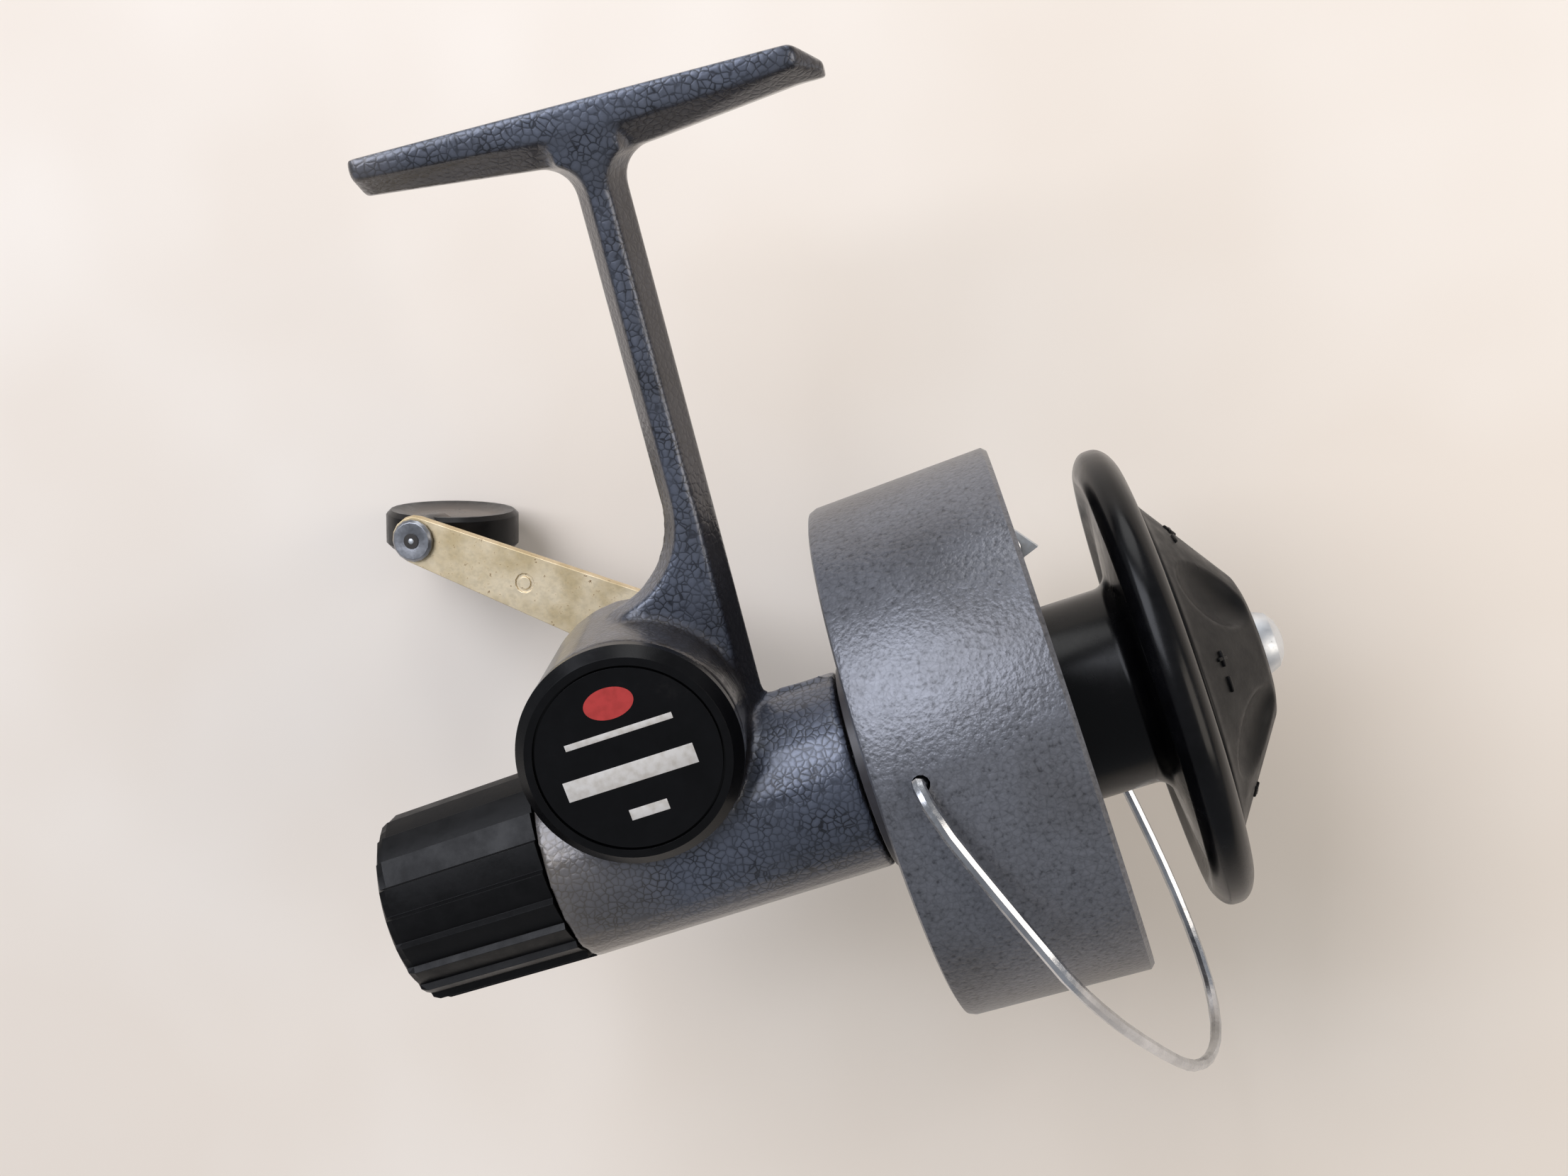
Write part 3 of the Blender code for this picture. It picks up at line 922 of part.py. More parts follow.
def make_drag_knob(reel, boss_end):
    """Conical drag knob with finger dimples, and the button in its nose."""
    bore = MAIN_RADIUS + GAP
    base = SPOOL_FACE + 2 * GAP
    ring_end = base + DRAG_RING
    cone = DRAG_BASE_RADIUS - DRAG_STEP
    slope = (cone - DRAG_NOSE_RADIUS) / (DRAG_NOSE_AT - ring_end)
    socket = BUTTON_RADIUS + GAP
    floor = BUTTON_FOOT - BUTTON_WELL
    inside = DRAG_NOSE_AT - 2 * DRAG_SHELL
    profile = [(boss_end, bore), (boss_end, DRAG_BOSS_RADIUS), (base + DRAG_RING, DRAG_BOSS_RADIUS),
               (inside - DRAG_SHELL, DRAG_NOSE_RADIUS - DRAG_STEP), (ring_end, cone - DRAG_SHELL),
               (base, cone - DRAG_SHELL), (base, DRAG_BASE_RADIUS - DRAG_STEP / 2),
               (base + DRAG_STEP / 2, DRAG_BASE_RADIUS), (ring_end - DRAG_STEP / 2, DRAG_BASE_RADIUS),
               (ring_end, cone), (DRAG_NOSE_AT - DRAG_STEP / 2, DRAG_NOSE_RADIUS + DRAG_STEP / 2 * slope),
               (DRAG_NOSE_AT, DRAG_NOSE_RADIUS - DRAG_STEP), (DRAG_NOSE_AT, socket), (floor, socket),
               (floor, bore)]
    knob = add_piece("drag_knob", turned(profile), "black_satin", reel)
    tilt = atan2(cone - DRAG_NOSE_RADIUS, DRAG_NOSE_AT - ring_end)
    along = (ring_end + DRAG_NOSE_AT) / 2
    radius = (cone + DRAG_NOSE_RADIUS) / 2
    scoops = bmesh.new()
    for k in range(DRAG_DIMPLES):
        place = Matrix.Rotation(DIMPLE_TURN + 2 * pi * k / DRAG_DIMPLES, 4, "X")
        place @= Matrix.Translation((along + DIMPLE_LIFT * sin(tilt), 0, radius + DIMPLE_LIFT * cos(tilt)))
        place @= Matrix.Rotation(tilt, 4, "Y")
        place @= Matrix.Diagonal((DIMPLE_LENGTH, DIMPLE_WIDTH, DIMPLE_HEIGHT, 1))
        bmesh.ops.create_uvsphere(scoops, u_segments=12, v_segments=8, radius=1.0, matrix=place)
    combine(knob, scoops, "DIFFERENCE")


def make_button(reel):
    """Domed push button in the nose of the drag knob."""
    shoulder = BUTTON_TIP - BUTTON_DOME
    dome = [(shoulder + BUTTON_DOME * sin(turn), BUTTON_RADIUS * cos(turn))
            for turn in (0.0, radians(30), radians(55), radians(75))]
    profile = [(BUTTON_FOOT, 0), (BUTTON_FOOT, BUTTON_RADIUS), *dome, (BUTTON_TIP, 0)]
    add_piece("release_button", turned(profile, steps=SMALL_STEPS), "bright_steel", reel)
    coil("button_spring", BUTTON_FOOT - BUTTON_WELL + GAP, BUTTON_SPRING_RADIUS, BUTTON_SPRING_WIRE,
         BUTTON_SPRING_TURNS, BUTTON_SPRING_PITCH, "X", "bright_steel", reel)


def make_rear_knob(reel):
    """Ribbed knob that closes the tube and turns the selector rod."""
    end = KNOB_FRONT - REAR_KNOB_LENGTH
    sections = []
    stations = [(KNOB_FRONT, TUBE_RADIUS, 1.0), (end + REAR_KNOB_ROUNDING, REAR_KNOB_END_RADIUS, 1.0),
                (end + REAR_KNOB_ROUNDING * 0.3, REAR_KNOB_END_RADIUS - REAR_KNOB_ROUNDING * 0.35, 0.6),
                (end, REAR_KNOB_END_RADIUS - REAR_KNOB_ROUNDING * 1.1, 0.0)]
    for x, radius, depth in stations:
        section = []
        for k in range(REAR_KNOB_RIBS):
            start = 2 * pi * k / REAR_KNOB_RIBS
            width = 2 * pi / REAR_KNOB_RIBS
            low = radius - REAR_KNOB_RIB_HEIGHT * depth
            for turn, reach in ((0.0, low), (0.12, radius), (0.56, (radius + low) / 2)):
                section.append((x, reach * cos(start + turn * width), reach * sin(start + turn * width)))
        sections.append(section)
    knob = add_piece("rear_knob", lofted(sections), "black_satin", reel)
    spigot = TUBE_BORE - GAP
    mouth = KNOB_FRONT + REAR_KNOB_SPIGOT
    combine(knob, rod(KNOB_FRONT - CUT_OVERRUN, mouth, spigot, steps=ROUND_STEPS), "UNION")
    floor = end + REAR_KNOB_WALL
    hollow = rod(floor, mouth + CUT_OVERRUN, spigot - REAR_KNOB_SPIGOT_WALL, steps=ROUND_STEPS)
    combine(knob, hollow, "DIFFERENCE")
    offset = Vector((0, SELECTOR_OFFSET * cos(SELECTOR_ANGLE), SELECTOR_OFFSET * sin(SELECTOR_ANGLE)))
    seat = rod(floor - REAR_KNOB_WALL / 2, floor + CUT_OVERRUN, SELECTOR_RADIUS + GAP, steps=12)
    combine(knob, moved(seat, offset), "DIFFERENCE")
    selector = rod(floor - REAR_KNOB_WALL / 2 + GAP, SELECTOR_END, SELECTOR_RADIUS, steps=12)
    add_piece("selector_rod", moved(selector, offset), "bright_steel", reel)


def make_pawl(pawl):
    """Pawl: a nose beside the ratchet wheel and a tail that the selector rod lifts."""
    tail_end = RATCHET_AT - GAP
    tail_start = tail_end - PAWL_TAIL_WIDTH
    piece = add_piece("pawl", extruded(PAWL_TAIL, tail_start, tail_end, "X"), "bright_steel", pawl)
    nose_end = RATCHET_AT + RATCHET_WIDTH
    combine(piece, rod(tail_start, nose_end, PAWL_HUB_RADIUS), "UNION")
    combine(piece, extruded(PAWL_NOSE, RATCHET_AT + GAP, nose_end, "X"), "UNION")
    bore = rod(tail_start - CUT_OVERRUN, nose_end + CUT_OVERRUN, PAWL_PIN_RADIUS + GAP, steps=12)
    combine(piece, bore, "DIFFERENCE")


def main():
    for thing in list(bpy.data.objects):
        bpy.data.objects.remove(thing, do_unlink=True)
    place = Matrix.Translation((DRUM_FORWARD, 0, -AXIS_DROP)) @ Matrix.Rotation(-AXIS_TILT, 4, "Y")
    reel = add_empty("reel_axis", None, place)
    gear = add_empty("gear_axis", reel, Matrix.Translation(GEAR_MIDDLE))
    bail = add_empty("bail_axis", reel, BAIL_FRAME)
    roller = add_empty("roller_axis", bail, Matrix.Translation((ROLLER_X, ROLLER_IN, ROLLER_Z)))
    pawl = add_empty("pawl_axis", reel, Matrix.Translation(PAWL_PIVOT))
    grip = add_empty("grip_axis", gear, grip_frame())
    make_body(reel)
    make_case_fittings(reel, gear)
    make_drive(gear, grip)
    make_handle_knob(grip)
    make_rotor(reel, bail)
    make_bail(bail)
    make_roller(roller)
    boss_end = make_main_shaft(reel)
    make_spool(reel)
    make_drag_knob(reel, boss_end)
    make_button(reel)
    make_rear_knob(reel)
    make_pawl(pawl)
    print(f"drive: rotor turns {GEAR_RATIO:.2f} to one of the crank; pitch radii "
          f"{1000 * GEAR_PITCH:.2f} and {1000 * PINION_PITCH:.2f} mm; "
          f"crank at {degrees(CRANK_ANGLE):.1f} degrees")


main()
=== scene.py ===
"""Looks of the spinning reel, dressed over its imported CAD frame."""
from math import ceil, cos, pi, radians, sin, sqrt

import bmesh
import bpy
from mathutils import Matrix, Vector

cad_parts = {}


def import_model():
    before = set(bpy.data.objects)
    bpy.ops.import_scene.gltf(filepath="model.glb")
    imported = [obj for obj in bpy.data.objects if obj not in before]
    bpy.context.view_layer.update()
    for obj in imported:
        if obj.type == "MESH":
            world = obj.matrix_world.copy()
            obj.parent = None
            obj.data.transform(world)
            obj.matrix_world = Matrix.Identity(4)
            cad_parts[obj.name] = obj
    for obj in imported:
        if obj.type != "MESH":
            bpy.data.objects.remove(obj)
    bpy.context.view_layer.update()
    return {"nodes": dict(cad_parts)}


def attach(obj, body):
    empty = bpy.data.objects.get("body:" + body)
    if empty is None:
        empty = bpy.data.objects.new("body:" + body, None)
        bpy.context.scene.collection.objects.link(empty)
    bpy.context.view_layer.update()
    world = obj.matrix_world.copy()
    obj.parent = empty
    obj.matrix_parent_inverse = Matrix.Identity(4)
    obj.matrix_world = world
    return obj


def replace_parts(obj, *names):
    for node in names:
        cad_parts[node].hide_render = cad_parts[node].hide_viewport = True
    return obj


# The reel's own axis in the part's frame: X along the main shaft, from the drum's middle.
REEL = Matrix.Translation((0.0293, 0.0, -0.0892)) @ Matrix.Rotation(radians(-5.0), 4, "Y")
GEAR_CENTRE = Vector((-0.0409, 0.0, 0.0157))
CASE_RADIUS = 0.0142
BADGE_FACE = -0.0167
TUBE_REAR = -0.0359
STEM_HALF = 0.00335
FLARE_TOP = -0.050
FLARE_RADIUS = 0.0125
FLARE_TURNS = (0, 30, 50, 66, 80)
CASTING_GRID = 0.00045
CASTING_SMOOTHINGS = 6
DUST_LENGTH = 0.016
CASE_SHADE_WIDTH = 0.0014
EDGE_ANGLE = radians(38)
COVER_AXIS = REEL @ Matrix.Translation(GEAR_CENTRE) @ Matrix.Rotation(pi / 2, 4, "Z")

# Half sections of the spool and the drag knob, along the reel's axis and out from it, and the knob's dimples.
SPOOL = [(0.0064, 0.0024), (0.0064, 0.0110), (0.0074, 0.0130), (0.0074, 0.0297), (0.0081, 0.0304),
         (0.0087, 0.0304), (0.0094, 0.0297), (0.0094, 0.0130), (0.0203, 0.0130), (0.0215, 0.0142),
         (0.0227, 0.0247), (0.0216, 0.0278), (0.0223, 0.0293), (0.0233, 0.0303), (0.0252, 0.0303),
         (0.0264, 0.0293), (0.0272, 0.0276), (0.0266, 0.0258), (0.0262, 0.0250), (0.0262, 0.0110),
         (0.0094, 0.0110), (0.0094, 0.0024)]
SPOOL_ROUNDING = 0.0008
KNOB = [(0.0268, 0.0192), (0.0268, 0.0219), (0.0273, 0.0224), (0.0278, 0.0224), (0.0283, 0.0214),
        (0.0365, 0.0093), (0.0370, 0.0076), (0.0370, 0.0044), (0.0315, 0.0044), (0.0315, 0.0024),
        (0.0174, 0.0024), (0.0174, 0.0056), (0.0283, 0.0056), (0.0304, 0.0076), (0.0283, 0.0192)]
KNOB_ROUNDING = 0.0004
KNOB_RUN = 0.0004
TURNED_STEPS = 200
CONE_START = Vector((0.0283, 0.0, 0.0214))
CONE_END = Vector((0.0370, 0.0, 0.0086))
DIMPLES = 5
FIRST_DIMPLE = radians(42.0)
DIMPLE_LENGTH = 0.0074
DIMPLE_WIDTH = 0.0052
DIMPLE_DEPTH = 0.0030
DIMPLE_LIFT = 0.0012
DIMPLE_RIM = 0.0003
DIMPLE_REACH = 0.0015
SIGN = 0.0020
SIGN_TURN = radians(5.1)
SIGN_PLACE = 0.0043
SIGN_HEIGHT = 0.0007
CROSS_HEIGHT = 0.0006

# Paddle knob with the dust on it, the rivet, and the print on the badge as place, length and width of each bar.
PADDLE_CENTRE = (-0.04662, 0.06097, -0.05604)
PADDLE_DUST = (0.0062, 0.0095)
RIVET = Vector((-0.04921, 0.04659, -0.05442))
RIVET_AXIS = Vector((0.17642, 0.97815, -0.11002))
RIVET_RISE = 0.00112
HOLLOW_RADIUS = 0.0012
HOLLOW_DEPTH = 0.0002
PIN_END = 0.0005
PRINT = 0.0001
OVAL_AT = Vector((0.0001, BADGE_FACE, 0.0074))
OVAL_SIZE = (0.0032, 0.0020, PRINT, 1.0)
BARS = ((0.0, 0.0036, 0.0140, 0.0008), (-0.0004, -0.0018, 0.0170, 0.0026), (0.0002, -0.0070, 0.0050, 0.0014))

# Camera, as fitted to the photograph, in the reel's own frame.
CAMERA_AT = Vector((0.009674, -0.22958, 0.076656))
CAMERA_RIGHT = Vector((0.944, 0.041, -0.328))
CAMERA_DOWN = Vector((-0.310, -0.239, -0.920))
CAMERA_LENS = 36.0 * 2600 / 2212

# Table, behind the reel as it lies on its crank side.
TABLE_AWAY = Vector((0.10, 0.97, -0.20))
TABLE_GAP = 0.0005
TABLE_HALF = 1.5


def linear(code):
    """sRGB hex colour as linear RGBA."""
    parts = [int(code[k:k + 2], 16) / 255 for k in (1, 3, 5)]
    return (*[c / 12.92 if c <= 0.04045 else ((c + 0.055) / 1.055) ** 2.4 for c in parts], 1.0)


def per_mm(size):
    """Texture scale that repeats every so many millimetres."""
    return 1000.0 / size


def add(tree, kind, links=None, stops=(), out=0, **settings):
    """Output of a new node; links are values or sockets for its inputs, stops a ramp's places and colours."""
    made = tree.nodes.new(kind)
    for key, value in settings.items():
        setattr(made, key, value)
    for key, value in (links or {}).items():
        if isinstance(value, bpy.types.NodeSocket):
            tree.links.new(value, made.inputs[key])
        else:
            made.inputs[key].default_value = value
    for k, (place, code) in enumerate(stops):
        element = made.color_ramp.elements[k] if k < 2 else made.color_ramp.elements.new(place)
        element.position = place
        element.color = linear(code)
    return made.outputs[out]


def new_finish(name):
    """Empty material: its tree, its shader and Object coordinates."""
    finish = bpy.data.materials.new(name)
    finish.use_nodes = True
    tree = finish.node_tree
    where = add(tree, "ShaderNodeTexCoord", out="Object")
    return finish, tree, tree.nodes["Principled BSDF"], where


def hammered_casting():
    """Hammered enamel on an alloy casting: small rounded cells parted by hair-thin dark lines. It is smoother
    on the edges and undersides, which are painted darker as shade, and it is dusty at the rear."""
    finish, tree, shader, where = new_finish("hammered_casting_paint")
    drift = add(tree, "ShaderNodeTexNoise", {"Vector": where, "Scale": per_mm(1.2), "Detail": 2.0},
                out="Color")
    bent = add(tree, "ShaderNodeMixRGB", {0: 0.0005, 1: where, 2: drift}, blend_type="ADD")
    edge = add(tree, "ShaderNodeTexVoronoi", {"Vector": bent, "Scale": per_mm(0.95)},
               feature="DISTANCE_TO_EDGE")
    # The blue in these greys is a painted blue reflection; the enamel itself is grey.
    line = add(tree, "ShaderNodeValToRGB", {"Fac": edge},
               [(0.0, "#15171c"), (0.04, "#2b2e37"), (0.11, "#585e6c"), (0.4, "#666c7b")])
    patch = add(tree, "ShaderNodeTexNoise", {"Vector": where, "Scale": per_mm(4.0), "Detail": 3.0})
    strong = add(tree, "ShaderNodeMapRange", {0: patch, 1: 0.35, 2: 0.6, 3: 0.35, 4: 0.9})
    net = add(tree, "ShaderNodeMixRGB", {0: strong, 1: linear("#5a606e"), 2: line})
    # Painted shade: faces turned endways and undersides get a darker, smoother colour.
    facing = add(tree, "ShaderNodeTexCoord", out="Normal")
    endways = add(tree, "ShaderNodeVectorMath", {0: facing, 1: (1.0, 0.0, 0.0)}, out="Value",
                  operation="DOT_PRODUCT")
    sides = add(tree, "ShaderNodeMath", {0: endways}, operation="ABSOLUTE")
    under = add(tree, "ShaderNodeVectorMath", {0: facing, 1: (0.0, 0.0, -1.0)}, out="Value",
                operation="DOT_PRODUCT")
    away = add(tree, "ShaderNodeMath", {0: sides, 1: under}, operation="MAXIMUM")
    smooth_and_painted_shade = add(tree, "ShaderNodeMapRange", {0: away, 1: 0.45, 2: 0.85, 3: 0.0, 4: 0.85})
    body = add(tree, "ShaderNodeMixRGB", {0: smooth_and_painted_shade, 1: net, 2: linear("#39373a")})
    matt = add(tree, "ShaderNodeMapRange", {0: smooth_and_painted_shade, 1: 0.0, 2: 0.85, 3: 0.34, 4: 0.22})
    smear = add(tree, "ShaderNodeTexNoise", {"Vector": where, "Scale": per_mm(14.0), "Detail": 4.0})
    grime = add(tree, "ShaderNodeValToRGB", {"Fac": smear}, [(0.3, "#a89f94"), (0.6, "#ffffff")])
    soiled = add(tree, "ShaderNodeMixRGB", {0: 0.5, 1: body, 2: grime}, blend_type="MULTIPLY")

    along = add(tree, "ShaderNodeVectorMath", {0: where, 1: REEL.col[0].to_3d()}, out="Value",
                operation="DOT_PRODUCT")
    rear = add(tree, "ShaderNodeMapRange", {0: along, 1: TUBE_REAR, 2: TUBE_REAR + DUST_LENGTH, 3: 1.3, 4: 0.0})
    film = add(tree, "ShaderNodeMath", {0: rear, 1: smear}, operation="MULTIPLY")
    dusted = add(tree, "ShaderNodeMixRGB", {0: film, 1: soiled, 2: linear("#7d756b")})
    # Painted brown sheen and painted shade: the case's side and a band just round it, in the corner by the
    # cover, go dark brown in patches.
    apart = add(tree, "ShaderNodeVectorMath", {0: where, 1: REEL @ GEAR_CENTRE}, operation="SUBTRACT")
    flat = add(tree, "ShaderNodeVectorMath", {0: apart, 1: (1.0, 0.0, 1.0)}, operation="MULTIPLY")
    ring = add(tree, "ShaderNodeVectorMath", {0: flat}, out="Value", operation="LENGTH")
    near = add(tree, "ShaderNodeMapRange",
               {0: ring, 1: CASE_RADIUS, 2: CASE_RADIUS + CASE_SHADE_WIDTH, 3: 1.0, 4: 0.0})
    case_sheen_and_shade = add(tree, "ShaderNodeMath", {0: near, 1: patch}, operation="MULTIPLY")
    colour = add(tree, "ShaderNodeMixRGB", {0: case_sheen_and_shade, 1: dusted, 2: linear("#3f3831")})

    dome = add(tree, "ShaderNodeValToRGB", {"Fac": edge},
               [(0.0, "#000000"), (0.2, "#c0c0c0"), (0.6, "#ffffff")])
    bump = add(tree, "ShaderNodeBump", {"Height": dome, "Strength": 0.25, "Distance": 0.0002})
    tree.links.new(colour, shader.inputs["Base Color"])
    tree.links.new(matt, shader.inputs["Roughness"])
    tree.links.new(bump, shader.inputs["Normal"])
    shader.inputs["Metallic"].default_value = 0.4
    shader.inputs["Coat Weight"].default_value = 0.3
    shader.inputs["Coat Roughness"].default_value = 0.15
    return finish


def hammered_drum():
    """The same enamel sprayed thinner: a fine orange-peel skin with sparse pores and a faint net."""
    finish, tree, shader, where = new_finish("hammered_drum_paint")
    peel = add(tree, "ShaderNodeTexNoise", {"Vector": where, "Scale": per_mm(0.6), "Detail": 2.0})
    edge = add(tree, "ShaderNodeTexVoronoi", {"Vector": where, "Scale": per_mm(0.9)},
               feature="DISTANCE_TO_EDGE")
    net = add(tree, "ShaderNodeValToRGB", {"Fac": edge}, [(0.0, "#c2c2c4"), (0.12, "#ffffff")])
    grey = add(tree, "ShaderNodeValToRGB", {"Fac": peel},
               [(0.25, "#4c4d52"), (0.42, "#686a70"), (0.75, "#74767d")])
    netted = add(tree, "ShaderNodeMixRGB", {0: 0.4, 1: grey, 2: net}, blend_type="MULTIPLY")
    smear = add(tree, "ShaderNodeTexNoise", {"Vector": where, "Scale": per_mm(18.0), "Detail": 5.0})
    grime = add(tree, "ShaderNodeValToRGB", {"Fac": smear}, [(0.32, "#a1978b"), (0.58, "#ffffff")])
    colour = add(tree, "ShaderNodeMixRGB", {0: 0.5, 1: netted, 2: grime}, blend_type="MULTIPLY")
    bump = add(tree, "ShaderNodeBump", {"Height": peel, "Strength": 0.45, "Distance": 0.0002})
    tree.links.new(colour, shader.inputs["Base Color"])
    tree.links.new(bump, shader.inputs["Normal"])
    shader.inputs["Metallic"].default_value = 0.4
    shader.inputs["Roughness"].default_value = 0.32
    return finish


def black_moulding(name, roughness, grain, depth, dusty=None):
    """Black moulded plastic: handling leaves the gloss uneven, and pale dust can lie around one place."""
    finish, tree, shader, where = new_finish(name)
    worn = add(tree, "ShaderNodeTexNoise",
               {"Vector": where, "Scale": per_mm(grain), "Detail": 6.0, "Roughness": 0.7})
    colour = add(tree, "ShaderNodeValToRGB", {"Fac": worn},
                 [(0.35, "#050506"), (0.62, "#0b0b0d"), (0.80, "#1a1919")])
    gloss = add(tree, "ShaderNodeMapRange", {0: worn, 1: 0.3, 2: 0.8, 3: roughness * 0.8, 4: roughness * 1.5})
    if dusty:
        apart = add(tree, "ShaderNodeVectorMath", {0: where, 1: dusty}, out="Value", operation="DISTANCE")
        near = add(tree, "ShaderNodeMapRange",
                   {0: apart, 1: PADDLE_DUST[0], 2: PADDLE_DUST[1], 3: 0.75, 4: 0.0})
        film = add(tree, "ShaderNodeMath", {0: near, 1: worn}, operation="MULTIPLY")
        colour = add(tree, "ShaderNodeMixRGB", {0: film, 1: colour, 2: linear("#9a8c80")})
    fine = add(tree, "ShaderNodeTexNoise", {"Vector": where, "Scale": per_mm(0.5), "Detail": 2.0})
    bump = add(tree, "ShaderNodeBump", {"Height": fine, "Strength": depth, "Distance": 0.0001})
    tree.links.new(colour, shader.inputs["Base Color"])
    tree.links.new(gloss, shader.inputs["Roughness"])
    tree.links.new(bump, shader.inputs["Normal"])
    shader.inputs["Specular IOR Level"].default_value = 0.22
    return finish


def worn_plate(name, bright, dull, pit, roughness, speckle):
    """Plated or bare metal: bright, dulled in clouds, with small brown pits where it has worn."""
    finish, tree, shader, where = new_finish(name)
    cloud = add(tree, "ShaderNodeTexNoise", {"Vector": where, "Scale": per_mm(5.0), "Detail": 4.0})
    spots = add(tree, "ShaderNodeTexNoise",
                {"Vector": where, "Scale": per_mm(0.8), "Detail": 5.0, "Roughness": 0.7})
    base = add(tree, "ShaderNodeValToRGB", {"Fac": cloud}, [(0.35, dull), (0.65, bright)])
    mask = add(tree, "ShaderNodeMapRange", {0: spots, 1: speckle, 2: speckle + 0.08, 3: 0.0, 4: 1.0})
    colour = add(tree, "ShaderNodeMixRGB", {0: mask, 1: base, 2: linear(pit)})
    matt = add(tree, "ShaderNodeMapRange", {0: spots, 1: 0.4, 2: 0.8, 3: roughness, 4: roughness + 0.25})
    bump = add(tree, "ShaderNodeBump", {"Height": spots, "Strength": 0.12, "Distance": 0.0001})
    tree.links.new(colour, shader.inputs["Base Color"])
    tree.links.new(matt, shader.inputs["Roughness"])
    tree.links.new(bump, shader.inputs["Normal"])
    shader.inputs["Metallic"].default_value = 1.0
    return finish


def flat_coat(name, code, roughness=0.4):
    """Flat, dull coat with a slight mottle: ink, paint, fibre, painted shade and painted reflection."""
    finish, tree, shader, where = new_finish(name)
    mottle = add(tree, "ShaderNodeTexNoise", {"Vector": where, "Scale": per_mm(1.0), "Detail": 3.0})
    wash = add(tree, "ShaderNodeValToRGB", {"Fac": mottle}, [(0.3, "#e8e5e0"), (0.6, "#ffffff")])
    colour = add(tree, "ShaderNodeMixRGB", {0: 1.0, 1: linear(code), 2: wash}, blend_type="MULTIPLY")
    tree.links.new(colour, shader.inputs["Base Color"])
    shader.inputs["Roughness"].default_value = roughness
    return finish


def place_piece(name, shape, body, finish, crease=32):
    """Piece from a bmesh, on its body, in its finish, smooth up to a crease in degrees."""
    mesh = bpy.data.meshes.new(name)
    shape.to_mesh(mesh)
    shape.free()
    # The normals that come with a CAD node's loose triangles no longer fit once these are merged.
    if mesh.has_custom_normals:
        mesh.attributes.remove(mesh.attributes["custom_normal"])
    mesh.shade_smooth()
    mesh.set_sharp_from_angle(angle=radians(crease))
    mesh.materials.append(finish)
    piece = bpy.data.objects.new(name, mesh)
    bpy.context.scene.collection.objects.link(piece)
    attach(piece, body)
    return piece


def node_copy(frame, node):
    """Merged copy of a CAD node's mesh."""
    shape = bmesh.new()
    shape.from_mesh(frame["nodes"][node].data)
    bmesh.ops.remove_doubles(shape, verts=shape.verts, dist=1e-6)
    return shape


def rounder(shape, turn, cuts=3):
    """Splits the edges that run round an axis, and sets the new points on the true circle."""
    back = turn.inverted()
    bmesh.ops.join_triangles(shape, faces=shape.faces, angle_face_threshold=radians(0.5),
                             angle_shape_threshold=pi)
    reach = shape.verts.layers.float.new("reach")
    for vert in shape.verts:
        vert[reach] = (back @ vert.co).yz.length
    rings = []
    for edge in shape.edges:
        ends = [back @ vert.co for vert in edge.verts]
        level = abs(ends[0].x - ends[1].x) < 1e-5 and abs(ends[0].yz.length - ends[1].yz.length) < 1e-5
        if level and edge.calc_face_angle(0.0) > radians(2):
            rings.append(edge)
    old = set(shape.verts)
    bmesh.ops.subdivide_edges(shape, edges=rings, cuts=cuts)
    for vert in shape.verts:
        if vert not in old:
            spot = back @ vert.co
            out = spot.yz.normalized() * vert[reach]
            vert.co = turn @ Vector((spot.x, out.x, out.y))
    shape.verts.layers.float.remove(reach)


def dress(frame, node, body, finish, edge=0.00015, turn=None, crease=32):
    """Smooth, edge-rounded piece in place of a CAD node; turn is the axis of a round one."""
    shape = node_copy(frame, node)
    if turn:
        rounder(shape, turn)
    piece = place_piece(f"{node}_dressed", shape, body, finish, crease)
    if edge:
        rounding = piece.modifiers.new("edge", "BEVEL")
        rounding.width = edge
        rounding.segments = 2
        rounding.limit_method = "ANGLE"
        rounding.angle_limit = EDGE_ANGLE
        rounding.harden_normals = True
    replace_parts(piece, node)


def bend_flare(shape):
    """Bends the straight runs of the stem's rear flare to the arc that their ends lie on."""
    ends = [(FLARE_RADIUS * sin(radians(turn)), FLARE_RADIUS * (1 - cos(radians(turn))))
            for turn in FLARE_TURNS]
    for vert in shape.verts:
        depth = FLARE_TOP - vert.co.z
        for (high, before), (low, after) in zip(ends, ends[1:]):
            if high < depth < low:
                chord = before + (after - before) * (depth - high) / (low - high)
                arc = FLARE_RADIUS - sqrt(FLARE_RADIUS ** 2 - depth ** 2)
                share = (STEM_HALF - vert.co.x) / (2 * STEM_HALF + chord)
                vert.co.x += (chord - arc) * min(max(share, 0.0), 1.0)


def cast_body(frame, finish):
    """The casting with the soft inner corners and edges that a mould leaves under paint."""
    rough = bpy.data.objects.new("casting_start", bpy.data.meshes.new("casting_start"))
    shape = node_copy(frame, "body_casting")
    shape.to_mesh(rough.data)
    shape.free()
    bpy.context.scene.collection.objects.link(rough)
    skin = rough.modifiers.new("skin", "REMESH")
    skin.mode = "VOXEL"
    skin.voxel_size = CASTING_GRID
    bpy.context.view_layer.update()
    ready = rough.evaluated_get(bpy.context.evaluated_depsgraph_get())
    shape = bmesh.new()
    shape.from_mesh(ready.to_mesh())
    bpy.data.objects.remove(rough, do_unlink=True)
    bend_flare(shape)
    for _ in range(CASTING_SMOOTHINGS):
        bmesh.ops.smooth_vert(shape, verts=shape.verts, factor=0.5,
                              use_axis_x=True, use_axis_y=True, use_axis_z=True)
    piece = place_piece("body_casting_dressed", shape, "frame", finish)
    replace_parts(piece, "body_casting")


def raised_bar(shape, place, length, width, height):
    """Small bar with rounded edges, added to a bmesh."""
    size = Matrix.Diagonal((length, width, height, 1.0))
    made = bmesh.ops.create_cube(shape, size=1.0, matrix=place @ size)
    edges = {edge for vert in made["verts"] for edge in vert.link_edges}
    bmesh.ops.bevel(shape, geom=list(edges), offset=height * 0.3, affect="EDGES", segments=2,
                    profile=0.5, material=-1)


